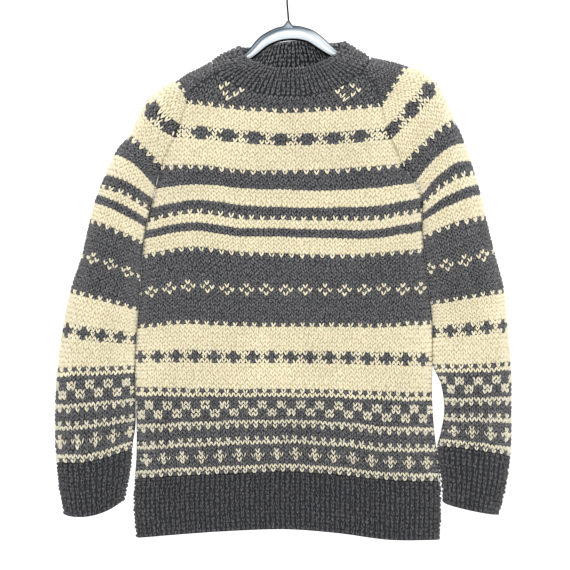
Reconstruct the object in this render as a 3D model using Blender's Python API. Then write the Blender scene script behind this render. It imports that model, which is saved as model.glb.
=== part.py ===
"""A raglan pullover in two colours of chunky wool, hanging on an arched hanger.

Metres, +Z up, the front facing -Y. The origin is the inside of the hook's crown,
where a rail holds the hanger. Left and right are the wearer's, so the left sleeve
lies at +X. The tables are in millimetres: x from the hook's crown, and drop
downwards from a level HOOK_RISE under the origin. A knitted row's number counts
the rows above the rib, so rows of body and sleeves with the same number belong to
one stripe and meet at the raglan seams.
"""

import math
from typing import NamedTuple

import bmesh
import bpy
import numpy as np

MM = 0.001
HOOK_RISE = 16.0
WALL = 4.0
SEAM_GAP = 0.3
RIB_GAP = 0.6

ROW_PITCH = 6.1
RIB_TOP_ROW = 0.5
ARMPIT_ROW = 71.0
OPEN_ROW = 75.0
YOKE_ROW = 90.0
NECK_ROW = 97.0

SIDE_ROUNDNESS = 4.0
ARMPIT_ROUNDNESS = 6.0
NECK_ROUNDNESS = 2.6

HEM_RIBS = 116
CUFF_RIBS = 28
COLLAR_RIBS = 56
RIB_RELIEF = 1.3

FRONT_COLUMNS = 22
BACK_COLUMNS = 16
SLEEVE_COLUMNS = 16
LOWER_ROWS = (0.5, 6, 13, 21, 29, 37, 42, 46, 50.5, 55, 60.5, 65.5, 68.5)
CAP_ROWS = (71, 72, 73.5, 75, 77, 79, 81.5, 84, 87, 90, 92, 94, 95.5, 97)

HEM_LOOP_STEPS = 60
CUFF_LOOP_STEPS = 48
SEAM_SAMPLES = 60

# A body panel's columns: this share of their spacing is even, the rest crowds to the sides.
EVEN_SHARE = 0.35

# Just above the armpit a sleeve still swells beyond its narrow seam edges, as far as this.
CAP_DEPTH = 28.0
CAP_SWELL = 0.85

ARCH_CENTRE_X = -1.0
HANGER_WIDTH = 10.0
HANGER_SECTION_POINTS = 10
HANGER_TIP_SHARE = 1 / 3
BOSS_RADIUS = 4.2
BOSS_TAPER = 0.75
BOSS_SEGMENTS = 12
BOSS_TOP_DROP = 62.5
BOSS_FOOT_DROP = 74.0

WIRE_RADIUS = 1.4
CROOK_RADIUS = 21.5
STEM_BEND_RADIUS = 8.0
STEM_FOOT_X = -0.6
STEM_TOP_X = -3.0
CROOK_END_ANGLE = 206.0
STEM_SHARES = (0.25, 0.5, 0.75)
STEM_BEND_STEPS = 6
CROOK_STEPS = 26

CREAM = (0.78, 0.70, 0.50)
CHARCOAL = (0.07, 0.07, 0.075)
SILVER = (0.62, 0.66, 0.70)
STEEL = (0.55, 0.56, 0.58)


class BodyRow(NamedTuple):
    """A row of the body: its seams' x, its depth at the middle and at the seam, its drops."""

    row: float
    x_min: float
    x_max: float
    depth: float
    seam_depth: float
    drops: tuple


class YokeRow(NamedTuple):
    """A row over the yoke: its raglan seams' x, and its share of the way up to the neck."""

    row: float
    x_min: float
    x_max: float
    depth: float
    seam_depth: float
    share: float


class CapRow(NamedTuple):
    """A row of a sleeve above the armpit: its outer fold, and the middle of its face."""

    row: float
    outer_x: float
    outer_drop: float
    middle_x: float
    middle_drop: float


class ArmRow(NamedTuple):
    """A row of a sleeve below the armpit. gap is the space between it and the body."""

    row: float
    outer_x: float
    outer_drop: float
    middle_x: float
    middle_drop: float
    inner_drop: float
    gap: float


class Crease(NamedTuple):
    """A soft ridge, or a trough where height is below 0. lean is in degrees from upright."""

    x: float
    drop: float
    lean: float
    length: float
    width: float
    height: float


class HangerPoint(NamedTuple):
    """A place on the hanger's middle line, and how tall the hanger is there."""

    x: float
    drop: float
    height: float


# Seven even places across the body, from the wearer's right seam to the left one.
BODY = (
    BodyRow(-14, -230, 227, 22, 0, (840, 833, 828, 826, 832, 842, 843)),
    BodyRow(-7, -234, 229, 25, 0, (795, 789, 785, 783, 788, 797, 799)),
    BodyRow(0.5, -232, 228, 26, 0, (750, 745, 742, 739, 744, 752, 755)),
    BodyRow(2, -231, 227, 26, 0, (741, 736, 733, 730, 735, 743, 745)),
    BodyRow(13, -229, 218, 27, 0, (672, 668, 665, 664, 667, 674, 676)),
    BodyRow(21, -231, 215, 28, 0, (616, 617, 618, 618, 619, 622, 624)),
    BodyRow(29, -231, 216, 29, 0, (567, 566, 567, 567, 568, 570, 571)),
    BodyRow(37, -228, 215, 30, 0, (522, 515, 518, 519, 519, 520, 515)),
    BodyRow(46, -224, 210, 31, 0, (473, 461, 466, 466, 467, 466, 464)),
    BodyRow(55, -220, 203, 32, 0, (417, 405, 412, 415, 417, 414, 408)),
    BodyRow(60.5, -217, 200, 32, 0, (384, 372, 380, 381, 383, 383, 371)),
    BodyRow(65.5, -210, 200, 33, 0, (351, 339, 347, 350, 350, 348, 336)),
    BodyRow(68.5, -203, 196, 33, 2, (327, 319, 326, 330, 331, 327, 315)),
    BodyRow(71, -200, 187, 33, 4.2, (311, 306, 312, 314, 315, 311, 303)),
    BodyRow(73, -197, 179, 34, 5.5, (298, 294, 301, 302, 303, 298, 290)),
    BodyRow(75, -193, 171, 34, 8, (283, 283, 290, 291, 290, 286, 280)),
    BodyRow(79, -181, 161, 35, 14, (255, 258, 265, 266, 265, 261, 256)),
    BodyRow(83, -168, 149, 36, 19, (228, 233, 238, 242, 241, 238, 232)),
    BodyRow(87, -159, 143, 36, 23, (203, 209, 215, 218, 217, 213, 208)),
    BodyRow(90, -153, 139, 36, 26, (185, 191, 196, 199, 197, 194, 190)),
)
YOKE = (
    YokeRow(90, -153, 139, 36, 26, 0),
    YokeRow(93, -148, 132, 36, 28, 0.39),
    YokeRow(95, -129, 125, 37, 30, 0.70),
    YokeRow(97, -110, 110, 38, 32, 1),
)
FRONT_NECK = (144, 164, 174, 177, 174, 166, 140)
BACK_NECK = (144, 143, 142, 141, 140, 140, 140)

RIGHT_CAP = (
    CapRow(71, -262, 261, -232, 274),
    CapRow(73, -254, 249, -223, 267),
    CapRow(75, -242, 237, -215, 258),
    CapRow(79, -228, 209, -213, 231),
    CapRow(83, -215, 184, -199, 209),
    CapRow(87, -188, 159, -171, 180),
    CapRow(90, -168, 151, -158, 170),
    CapRow(93, -149, 139, -145, 153),
    CapRow(95, -134, 132, -130, 144),
    CapRow(97, -117, 123, -113, 134),
)
RIGHT_ARM = (
    ArmRow(-13, -339, 806, -292, 805, 784, 13),
    ArmRow(-6.5, -346, 764, -294, 764, 746, 8),
    ArmRow(0.5, -350, 726, -294, 723, 705, 6.5),
    ArmRow(2, -351, 717, -294, 714, 696, 6),
    ArmRow(5, -352, 695, -293, 691, 678, 3),
    ArmRow(13, -352, 642, -292, 638, 632, 0.9),
    ArmRow(21, -349, 587, -291, 585, 584, 0.8),
    ArmRow(29, -341, 527, -286, 534, 540, 0.8),
    ArmRow(37, -329, 468, -277, 481, 495, 0.8),
    ArmRow(46, -312, 415, -270, 428, 447, 0.8),
    ArmRow(55, -300, 363, -263, 377, 396, 0.8),
    ArmRow(60.5, -291, 330, -257, 342, 366, 0.8),
    ArmRow(65.5, -280, 302, -245, 312, 336, 0.8),
    ArmRow(68.5, -270, 279, -237, 291, 319, 1.0),
    ArmRow(71, -262, 261, -232, 274, 311, SEAM_GAP),
)
LEFT_CAP = (
    CapRow(71, 263, 242, 227, 259),
    CapRow(73, 257, 227, 221, 249),
    CapRow(75, 250, 214, 215, 237),
    CapRow(79, 235, 179, 209, 211),
    CapRow(83, 221, 155, 195, 184),
    CapRow(87, 197, 135, 171, 168),
    CapRow(90, 177, 130, 159, 156),
    CapRow(93, 155, 123, 145, 147),
    CapRow(95, 140, 120, 133, 137),
    CapRow(97, 123, 117, 118, 129),
)
LEFT_ARM = (
    ArmRow(-13, 315, 806, 272, 798, 788, 2),
    ArmRow(-6.5, 326, 767, 277, 753, 744, 0.9),
    ArmRow(0.5, 333, 716, 279, 707, 701, 2),
    ArmRow(2, 334, 706, 280, 698, 692, 6),
    ArmRow(5, 335, 685, 282, 681, 678, 11),
    ArmRow(9, 335, 656, 285, 655, 655, 17),
    ArmRow(13, 335, 630, 285, 631, 632, 18),
    ArmRow(17, 335, 603, 282, 606, 606, 13),
    ArmRow(21, 334, 578, 277, 581, 582, 1.5),
    ArmRow(29, 329, 519, 275, 525, 529, 0.8),
    ArmRow(37, 324, 468, 269, 477, 487, 0.8),
    ArmRow(46, 309, 409, 260, 424, 435, 0.8),
    ArmRow(55, 297, 359, 251, 368, 388, 0.8),
    ArmRow(60.5, 287, 316, 247, 329, 357, 0.8),
    ArmRow(65.5, 276, 280, 240, 291, 329, 0.8),
    ArmRow(68.5, 269, 259, 233, 272, 313, 1.6),
    ArmRow(71, 263, 242, 227, 259, 303, SEAM_GAP),
)
# Half of a sleeve's thickness at a row of either sleeve, read between these rows.
SLEEVE_HALF_DEPTHS = ((-13, 21), (0.5, 23), (21, 25), (46, 27), (68.5, 30), (97, 32))

FRONT_CREASES = (
    Crease(-150, 400, 2, 150, 26, 5),
    Crease(-96, 420, -3, 150, 34, -3.5),
    Crease(-203, 740, 0, 130, 13, 4),
    Crease(-180, 700, 1, 110, 14, -3),
    Crease(122, 420, -4, 140, 34, 3.5),
    Crease(172, 640, 3, 120, 24, 3.5),
    Crease(88, 690, -2, 110, 40, -3),
    Crease(-30, 600, 6, 120, 44, 2.5),
    Crease(156, 316, 38, 40, 14, -2.5),
    Crease(-172, 316, -40, 40, 14, -2.5),
)
BACK_CREASES = (
    Crease(140, 430, -3, 150, 28, 5),
    Crease(84, 450, 2, 150, 36, -3.5),
    Crease(-126, 400, 4, 140, 34, 4),
    Crease(-176, 660, -2, 120, 22, 4),
    Crease(196, 720, 1, 120, 14, 4),
    Crease(-60, 680, -4, 120, 42, -3),
    Crease(20, 560, 5, 120, 44, 2.5),
    Crease(156, 316, 38, 40, 14, -2.5),
    Crease(-172, 316, -40, 40, 14, -2.5),
)
RIGHT_SLEEVE_CREASES = (
    Crease(-255, 330, 28, 46, 10, -4),
    Crease(-268, 392, 34, 40, 12, 3.5),
    Crease(-290, 470, -30, 46, 12, -3.5),
    Crease(-280, 540, 24, 60, 16, 3),
    Crease(-312, 620, -12, 70, 18, -3),
    Crease(-280, 690, 10, 60, 14, 3),
)
LEFT_SLEEVE_CREASES = (
    Crease(248, 316, -28, 46, 10, -4),
    Crease(262, 384, -34, 40, 12, 3.5),
    Crease(284, 462, 30, 46, 12, -3.5),
    Crease(276, 540, -24, 60, 16, 3),
    Crease(308, 610, 14, 70, 18, -3),
    Crease(298, 700, -10, 60, 14, 3),
)

COLLAR_TOP_X = 4.5
COLLAR_TOP_HALF_WIDTH = 79.5
COLLAR_TOP_HALF_DEPTH = 28.0
COLLAR_TOP_DROP = 95.4
COLLAR_TOP_TILT = -0.052
COLLAR_FRONT_DIP = 38.6
COLLAR_DIP_POWER = 1.28
COLLAR_BACK_DIP = 2.5
# The middle of the back edge stands higher than its corners, up behind the hanger.
COLLAR_BACK_RISE = 8.5
COLLAR_BACK_RISE_POWER = 6
COLLAR_BASE_HALF_WIDTH = 118.0
COLLAR_BASE_HALF_DEPTH = 36.0
COLLAR_BULGE = 2.0
# The collar slumps outwards on the wearer's right alone.
COLLAR_RIGHT_BULGE = 5.5
COLLAR_LEVELS = (0.0, 0.33, 0.67, 1.0)

HANGER = (
    HangerPoint(-189, 171.5, 8),
    HangerPoint(-168, 163.9, 11),
    HangerPoint(-149, 152.9, 12),
    HangerPoint(-117, 135.6, 12),
    HangerPoint(-88, 124.5, 12),
    HangerPoint(-60, 114.5, 13),
    HangerPoint(-50, 105.5, 15.5),
    HangerPoint(-40, 95.5, 18),
    HangerPoint(-28, 88, 19.5),
    HangerPoint(-14, 82.5, 21),
    HangerPoint(-1, 80.5, 21.5),
    HangerPoint(20, 82, 20.5),
    HangerPoint(33, 86.5, 19.5),
    HangerPoint(44, 94, 18.4),
    HangerPoint(55.5, 103, 16),
    HangerPoint(66, 110.5, 13.5),
    HangerPoint(92, 119.5, 12),
    HangerPoint(123, 127.9, 12),
    HangerPoint(155, 134.1, 12),
    HangerPoint(177, 141.5, 11),
    HangerPoint(197, 147.8, 8),
)
HANGER_STEP_X = 10.0


def smooth(at, places, values):
    """Values on a soft curve through the given places, which rise."""
    at = np.clip(np.atleast_1d(np.asarray(at, float)), places[0], places[-1])
    places = np.asarray(places, float)
    values = np.asarray(values, float)
    slopes = np.gradient(values, places, axis=0)
    i = np.clip(np.searchsorted(places, at, side="right") - 1, 0, len(places) - 2)
    span = places[i + 1] - places[i]
    t = (at - places[i]) / span
    if values.ndim > 1:
        span, t = span[:, None], t[:, None]
    low, high = values[i], values[i + 1]
    low_way, high_way = slopes[i] * span, slopes[i + 1] * span
    return (low * (1 + 2 * t) + low_way * t) * (1 - t) ** 2 + (
        high * (3 - 2 * t) - high_way * (1 - t)
    ) * t**2


def column(table, name, rows):
    """A named column of a table, read at these knitted rows."""
    return smooth(rows, [r.row for r in table], [getattr(r, name) for r in table])


def soft_step(t):
    """0 to 1 with level ends."""
    t = np.clip(t, 0, 1)
    return t * t * (3 - 2 * t)


def closing(rows):
    """1 where a tube is sewn up under the arm, 0 where the raglan seam parts its edges."""
    return soft_step((OPEN_ROW - rows) / (OPEN_ROW - ARMPIT_ROW))


def body_column(name, rows):
    """A column of the body's rows, up to the neck."""
    rows = np.asarray(rows, float)
    below = column(BODY, name, rows)
    above = column(YOKE, name, rows)
    return np.where(rows <= YOKE_ROW, below, above)


def body_drops(rows, neck):
    """The drops of the body's rows at the seven places across it."""
    drops = column(BODY, "drops", np.minimum(rows, YOKE_ROW))
    share = column(YOKE, "share", np.maximum(rows, YOKE_ROW))[:, None]
    return drops + (np.asarray(neck, float) - drops) * share


def creased(creases, x, drop):
    """How far the creases lift the cloth at these places."""
    lift = np.zeros(np.broadcast(x, drop).shape)
    for crease in creases:
        lean = math.radians(crease.lean)
        right, down = x - crease.x, drop - crease.drop
        over = right * math.cos(lean) - down * math.sin(lean)
        along = right * math.sin(lean) + down * math.cos(lean)
        reach = (over / crease.width) ** 2 + (along / crease.length) ** 2
        lift += crease.height * np.exp(-reach)
    return lift


def placed(x, y, drop):
    """Points in metres from x, y and drop in millimetres."""
    return np.stack(np.broadcast_arrays(x, y, -(HOOK_RISE + drop)), axis=-1) * MM


def body_walls(rows, across, neck, creases, side):
    """The outer and inner points of a body panel. side is -1 in front and 1 at the back."""
    rows = np.asarray(rows, float)
    across = np.asarray(across, float)
    x_min = body_column("x_min", rows)[:, None]
    x_max = body_column("x_max", rows)[:, None]
    depth = body_column("depth", rows)[:, None]
    seam_depth = body_column("seam_depth", rows)[:, None]
    closed = closing(rows)[:, None]
    places = np.linspace(-1, 1, 7)
    drop = smooth(across, places, body_drops(rows, neck).T).T
    middle, half = (x_min + x_max) / 2, (x_max - x_min) / 2

    round_side = np.sqrt(np.clip(1 - np.abs(across) ** SIDE_ROUNDNESS, 0, 1))
    up_yoke = soft_step((rows - ARMPIT_ROW) / (NECK_ROW - ARMPIT_ROW))[:, None]
    roundness = ARMPIT_ROUNDNESS + (NECK_ROUNDNESS - ARMPIT_ROUNDNESS) * up_yoke
    round_yoke = 1 - np.abs(across) ** roundness
    open_depth = seam_depth + (depth - seam_depth) * round_yoke
    outer_x = middle + half * across
    outer_y = open_depth + (depth * round_side - open_depth) * closed
    inner_x = middle + (half - WALL * closed) * across
    inner_y = open_depth - WALL
    inner_y = inner_y + ((depth - WALL) * round_side - inner_y) * closed

    lift = creased(creases, outer_x, drop) * (1 - np.abs(across) ** 8)
    edge = SEAM_GAP / 2
    outer_y = np.maximum(outer_y + lift, edge)
    inner_y = np.maximum(inner_y + lift, edge)
    tuck = -np.sign(across) * edge * (np.abs(across) > 0.999) * (rows[:, None] >= ARMPIT_ROW)
    return placed(outer_x + tuck, side * outer_y, drop), placed(inner_x + tuck, side * inner_y, drop)


def seam_line(rows, out):
    """The x and drop of the raglan or side seam. out is -1 on the wearer's right."""
    name, place = ("x_min", 0) if out < 0 else ("x_max", -1)
    return body_column(name, rows), body_drops(rows, FRONT_NECK)[:, place]


def sleeve_line(cap, arm, rows, out):
    """The outer fold, the middle and the inner edge of a sleeve, as (x, drop) for each row."""
    on_cap = rows >= ARMPIT_ROW

    def either(name):
        return np.where(on_cap, column(cap, name, rows), column(arm, name, rows))

    outer = np.stack([either("outer_x"), either("outer_drop")], axis=-1)
    middle = np.stack([either("middle_x"), either("middle_drop")], axis=-1)
    raglan_x, raglan_drop = seam_line(rows, out)
    side_rows = np.linspace(BODY[0].row, ARMPIT_ROW, SEAM_SAMPLES)
    side_x, side_drop = seam_line(side_rows, out)
    inner_drop = column(arm, "inner_drop", rows)
    inner_x = np.interp(inner_drop, side_drop[::-1], side_x[::-1])
    inner_x = inner_x + out * column(arm, "gap", rows)
    inner = np.stack(
        [
            np.where(on_cap, raglan_x + out * SEAM_GAP / 2, inner_x),
            np.where(on_cap, raglan_drop, inner_drop),
        ],
        axis=-1,
    )
    return outer, middle, inner


def sleeve_walls(cap, arm, creases, rows, turns, out):
    """The outer and inner points of a sleeve.

    A turn is 0 at the front edge, pi at the outer fold and 2 pi at the back edge.
    """
    rows = np.asarray(rows, float)
    turns = np.asarray(turns, float)[None, :]
    outer, middle, inner = (p[:, None, :] for p in sleeve_line(cap, arm, rows, out))
    length = np.linalg.norm(outer - inner, axis=-1)
    closed = closing(rows)[:, None]
    seam_depth = np.maximum(body_column("seam_depth", rows), WALL + SEAM_GAP / 2)[:, None]
    half_depth = smooth(rows, *zip(*SLEEVE_HALF_DEPTHS))[:, None]

    swell = CAP_SWELL * np.maximum(CAP_DEPTH - seam_depth, 0) * np.sin(turns)
    open_share, open_y = np.sin(turns / 2), -seam_depth * np.cos(turns / 2) - swell
    shut_share, shut_y = (1 - np.cos(turns)) / 2, -half_depth * np.sin(turns)
    share = open_share + (shut_share - open_share) * closed
    y = open_y + (shut_y - open_y) * closed
    open_in = open_share * (length - WALL) / length
    shut_in = 0.5 + (shut_share - 0.5) * (length - 2 * WALL) / length
    share_in = open_in + (shut_in - open_in) * closed
    open_y_in = -(seam_depth - WALL) * np.cos(turns / 2) - swell * (length - WALL) / length
    shut_y_in = shut_y * (half_depth - WALL) / half_depth
    y_in = open_y_in + (shut_y_in - open_y_in) * closed

    def at(share):
        t = share[..., None]
        return inner * (1 - t) * (1 - 2 * t) + middle * 4 * t * (1 - t) + outer * t * (2 * t - 1)

    side = np.where(turns < math.pi, -1, 1)
    edge = (turns < 1e-6) | (turns > 2 * math.pi - 1e-6)
    clear = np.where(edge, SEAM_GAP / 2, 0)

    def wall(share, y):
        spot = at(share)
        fade = 1 - np.abs(np.cos(turns)) ** 3
        lift = creased(creases, spot[..., 0], spot[..., 1]) * fade
        return placed(spot[..., 0], side * np.maximum(np.abs(y) + lift, clear), spot[..., 1])

    return wall(share, y), wall(share_in, y_in)


def add_mesh(name, points, faces, colour, roughness=0.9, metallic=0.0):
    """A closed mesh object with its own material, shaded smooth over its soft forms."""
    mesh = bpy.data.meshes.new(name)
    mesh.from_pydata([tuple(p) for p in points], [], faces)
    build = bmesh.new()
    build.from_mesh(mesh)
    bmesh.ops.triangulate(build, faces=build.faces)
    bmesh.ops.recalc_face_normals(build, faces=build.faces)
    build.to_mesh(mesh)
    build.free()
    mesh.shade_smooth()
    mesh.set_sharp_from_angle(angle=math.radians(50))
    solid = bpy.data.objects.new(name, mesh)
    solid.data.materials.append(finish(name, colour, roughness, metallic))
    bpy.context.scene.collection.objects.link(solid)
    return solid


def finish(name, colour, roughness, metallic):
    """A plain material for one node."""
    material = bpy.data.materials.new(name)
    material.use_nodes = True
    shader = material.node_tree.nodes["Principled BSDF"]
    shader.inputs["Base Color"].default_value = (*colour, 1)
    shader.inputs["Roughness"].default_value = roughness
    shader.inputs["Metallic"].default_value = metallic
    return material


def sheet_solid(name, outer, inner, colour):
    """A closed wall between two grids of points, with a border all round."""
    rows, columns = outer.shape[:2]
    count = rows * columns
    faces = []
    for r in range(rows - 1):
        for c in range(columns - 1):
            a = r * columns + c
            quad = (a, a + 1, a + columns + 1, a + columns)
            faces.append(quad)
            faces.append(tuple(count + i for i in reversed(quad)))
    rim = list(range(columns))
    rim += [r * columns + columns - 1 for r in range(1, rows)]
    rim += [(rows - 1) * columns + c for c in range(columns - 2, -1, -1)]
    rim += [r * columns for r in range(rows - 2, 0, -1)]
    for a, b in zip(rim, rim[1:] + rim[:1]):
        faces.append((b, a, count + a, count + b))
    points = np.concatenate([outer.reshape(-1, 3), inner.reshape(-1, 3)])
    return add_mesh(name, points, faces, colour)


def ribbed_ring(name, outer, inner, colour):
    """A closed band with raised ribs outside, from two outer points for each inner one."""
    levels, around = outer.shape[:2]
    ribs = inner.shape[1]
    base = levels * around
    faces = []
    for level in range(levels - 1):
        low, high = level * around, (level + 1) * around
        for k in range(around):
            n = (k + 1) % around
            faces.append((low + k, low + n, high + n, high + k))
        low, high = base + level * ribs, base + (level + 1) * ribs
        for k in range(ribs):
            n = (k + 1) % ribs
            faces.append((high + k, high + n, low + n, low + k))
    for level in (0, levels - 1):
        for k in range(ribs):
            rib, following = base + level * ribs + k, base + level * ribs + (k + 1) % ribs
            ridge = level * around + 2 * k
            groove = level * around + 2 * k + 1
            onward = level * around + (2 * k + 2) % around
            rim = [(rib, ridge, groove), (rib, groove, following), (following, groove, onward)]
            faces += rim if level else [tuple(reversed(f)) for f in rim]
    points = np.concatenate([outer.reshape(-1, 3), inner.reshape(-1, 3)])
    return add_mesh(name, points, faces, colour)


def even_places(loop, count):
    """Evenly spaced places round a closed loop, as positions in its list of points."""
    steps = np.linalg.norm(np.roll(loop, -1, axis=0) - loop, axis=1)
    run = np.concatenate([[0], np.cumsum(steps)])
    wanted = np.arange(count) * run[-1] / count
    return np.interp(wanted, run, np.arange(len(run)))


def read_loop(loop, places):
    """Points of a closed loop at these positions in its list."""
    closed = np.concatenate([loop, loop[:1]])
    index = np.arange(len(closed))
    return np.stack([np.interp(places, index, closed[:, axis]) for axis in range(3)], axis=-1)


def ribbed_loops(outer, inner, ribs):
    """Resamples pairs of loops, one for each level, for ribbed_ring, with the grooves sunk."""
    places = even_places(outer[0], 2 * ribs)
    ridges = np.stack([read_loop(loop, places) for loop in outer])
    plain = np.stack([read_loop(loop, places) for loop in inner])
    ridges[:, 1::2] += (plain[:, 1::2] - ridges[:, 1::2]) * RIB_RELIEF / WALL
    return ridges, plain[:, ::2]


def columns_across(count):
    """Places from -1 to 1 across a body panel, closer together towards its sides."""
    even = np.linspace(0, 1, count + 1)
    return EVEN_SHARE * (2 * even - 1) - (1 - EVEN_SHARE) * np.cos(math.pi * even)


def body_ring(rows, count):
    """Closed loops round the body, outer and inner, for its rib."""
    even = np.linspace(0, math.pi, count + 1)
    front = body_walls(rows, -np.cos(even), FRONT_NECK, FRONT_CREASES, -1)
    back = body_walls(rows, np.cos(even), BACK_NECK, BACK_CREASES, 1)
    return [np.concatenate([f[:, :-1], b[:, :-1]], axis=1) for f, b in zip(front, back)]


def build_body():
    """The two body panels, and the rib at their hem."""
    rows = LOWER_ROWS + CAP_ROWS
    front = body_walls(rows, columns_across(FRONT_COLUMNS), FRONT_NECK, FRONT_CREASES, -1)
    sheet_solid("body_front", *front, CREAM)
    back = body_walls(rows, columns_across(BACK_COLUMNS), BACK_NECK, BACK_CREASES, 1)
    sheet_solid("body_back", *back, CREAM)
    rib_top = RIB_TOP_ROW - RIB_GAP / ROW_PITCH
    outer, inner = body_ring((BODY[0].row, BODY[1].row, rib_top), HEM_LOOP_STEPS)
    ribbed_ring("hem_rib", *ribbed_loops(outer, inner, HEM_RIBS), CHARCOAL)
    return front, back


def build_sleeve(side, cap, arm, creases, out):
    """A sleeve and its cuff. out is -1 on the wearer's right and 1 on the left."""
    rows = LOWER_ROWS + CAP_ROWS
    turns = np.linspace(0, 2 * math.pi, SLEEVE_COLUMNS + 1)
    sleeve = sleeve_walls(cap, arm, creases, rows, turns, out)
    sheet_solid(f"sleeve_{side}", *sleeve, CREAM)
    rib_top = RIB_TOP_ROW - RIB_GAP / ROW_PITCH
    turns = np.linspace(0, 2 * math.pi, CUFF_LOOP_STEPS + 1)
    loops = sleeve_walls(cap, arm, creases, (arm[0].row, arm[1].row, rib_top), turns, out)
    outer, inner = (loop[:, :-1] for loop in loops)
    ribbed_ring(f"cuff_{side}", *ribbed_loops(outer, inner, CUFF_RIBS), CHARCOAL)
    return sleeve


def collar_top(base, inset):
    """The point of the collar's top edge over a point of its base, both in metres."""
    across = (base[:, 0] / MM - COLLAR_TOP_X) / COLLAR_BASE_HALF_WIDTH
    angle = np.arctan2(base[:, 1] / MM / COLLAR_BASE_HALF_DEPTH, across)
    x = (COLLAR_TOP_HALF_WIDTH - inset) * np.cos(angle)
    y = (COLLAR_TOP_HALF_DEPTH - inset) * np.sin(angle)
    front = np.clip(-np.sin(angle), 0, 1) ** COLLAR_DIP_POWER
    back = np.clip(np.sin(angle), 0, 1)
    drop = COLLAR_TOP_DROP + COLLAR_TOP_TILT * x
    drop = drop + COLLAR_FRONT_DIP * front + COLLAR_BACK_DIP * back
    drop = drop - COLLAR_BACK_RISE * back**COLLAR_BACK_RISE_POWER
    return placed(COLLAR_TOP_X + x, y, drop)


def build_collar(front, back, sleeve_right, sleeve_left):
    """The ribbed collar, which stands on the upper edges of the four panels."""

    def neck(layer):
        return np.concatenate(
            [
                front[layer][-1],
                sleeve_left[layer][-1][1:-1],
                back[layer][-1][::-1],
                sleeve_right[layer][-1][::-1][1:-1],
            ]
        )

    share = (neck(0)[:, 0] / MM - COLLAR_TOP_X) / COLLAR_BASE_HALF_WIDTH
    sideways = -COLLAR_RIGHT_BULGE * np.clip(-share, 0, 1) ** 2
    facing = placed(sideways, COLLAR_BULGE * np.sign(neck(0)[:, 1]), -HOOK_RISE)
    walls = []
    for layer, inset in ((0, 0.0), (1, WALL)):
        base, top = neck(layer), collar_top(neck(0), inset)
        way = top - base
        foot = base + way / np.linalg.norm(way, axis=1, keepdims=True) * SEAM_GAP * MM
        levels = [
            foot + (top - foot) * level + facing * math.sin(math.pi * level)
            for level in COLLAR_LEVELS
        ]
        walls.append(np.stack(levels))
    ribbed_ring("collar", *ribbed_loops(*walls, COLLAR_RIBS), CHARCOAL)


def build_hanger():
    """The arched hanger with its two arms, and the boss that takes the wire."""
    ends = HANGER[0].x, HANGER[-1].x
    x = np.linspace(*ends, round((ends[1] - ends[0]) / HANGER_STEP_X) + 1)
    places = [p.x for p in HANGER]
    drop = smooth(x, places, [p.drop for p in HANGER])
    height = smooth(x, places, [p.height for p in HANGER])
    slope = np.gradient(drop, x)
    across = np.stack([-slope, np.ones_like(slope)], axis=-1)
    across /= np.linalg.norm(across, axis=1, keepdims=True)
    points = []
    angles = np.arange(HANGER_SECTION_POINTS) * 2 * math.pi / HANGER_SECTION_POINTS
    for i in range(len(x)):
        rise = np.cos(angles) * height[i] / 2
        points.append(
            placed(
                x[i] + rise * across[i, 0],
                np.sin(angles) * HANGER_WIDTH / 2,
                drop[i] + rise * across[i, 1],
            )
        )
    faces = []
    n = HANGER_SECTION_POINTS
    for i in range(len(x) - 1):
        for k in range(n):
            m = (k + 1) % n
            faces.append((i * n + k, i * n + m, (i + 1) * n + m, (i + 1) * n + k))
    tip_reach = HANGER[0].height * HANGER_TIP_SHARE
    tips = placed(np.array([x[0] - tip_reach, x[-1] + tip_reach]), 0.0, drop[[0, -1]])
    last = len(x) * n
    for k in range(n):
        m = (k + 1) % n
        faces.append((last, m, k))
        faces.append((last + 1, last - n + k, last - n + m))
    points = np.concatenate(points + [tips])
    hanger = add_mesh("hanger", points, faces, SILVER, 0.2)

    cone = bmesh.new()
    bmesh.ops.create_cone(
        cone,
        cap_ends=True,
        segments=BOSS_SEGMENTS,
        radius1=BOSS_RADIUS * MM,
        radius2=BOSS_RADIUS * BOSS_TAPER * MM,
        depth=(BOSS_FOOT_DROP - BOSS_TOP_DROP) * MM,
    )
    mesh = bpy.data.meshes.new("boss")
    cone.to_mesh(mesh)
    cone.free()
    boss = bpy.data.objects.new("boss", mesh)
    middle = (BOSS_TOP_DROP + BOSS_FOOT_DROP) / 2
    boss.location = (ARCH_CENTRE_X * MM, 0, -(HOOK_RISE + middle) * MM)
    boss.hide_render = True
    boss.display_type = "WIRE"
    bpy.context.scene.collection.objects.link(boss)
    joined = hanger.modifiers.new("boss", "BOOLEAN")
    joined.operation = "UNION"
    joined.object = boss


def hook_line():
    """The wire's middle line, from its foot in the boss round the crook to its end."""
    centre_drop = CROOK_RADIUS - WIRE_RADIUS - HOOK_RISE
    bend_x = STEM_TOP_X + STEM_BEND_RADIUS
    reach = CROOK_RADIUS + STEM_BEND_RADIUS
    turn = -math.acos(bend_x / reach)
    bend_drop = centre_drop - reach * math.sin(turn)
    line = [(STEM_FOOT_X, BOSS_TOP_DROP - SEAM_GAP)]
    for share in STEM_SHARES:
        line.append(
            (
                STEM_FOOT_X + (STEM_TOP_X - STEM_FOOT_X) * share,
                line[0][1] + (bend_drop - line[0][1]) * share,
            )
        )
    for angle in np.linspace(math.pi, math.pi + turn, STEM_BEND_STEPS):
        line.append(
            (
                bend_x + STEM_BEND_RADIUS * math.cos(angle),
                bend_drop - STEM_BEND_RADIUS * math.sin(angle),
            )
        )
    for angle in np.linspace(turn, math.radians(CROOK_END_ANGLE), CROOK_STEPS)[1:]:
        line.append(
            (CROOK_RADIUS * math.cos(angle), centre_drop - CROOK_RADIUS * math.sin(angle))
        )
    return line


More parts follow.
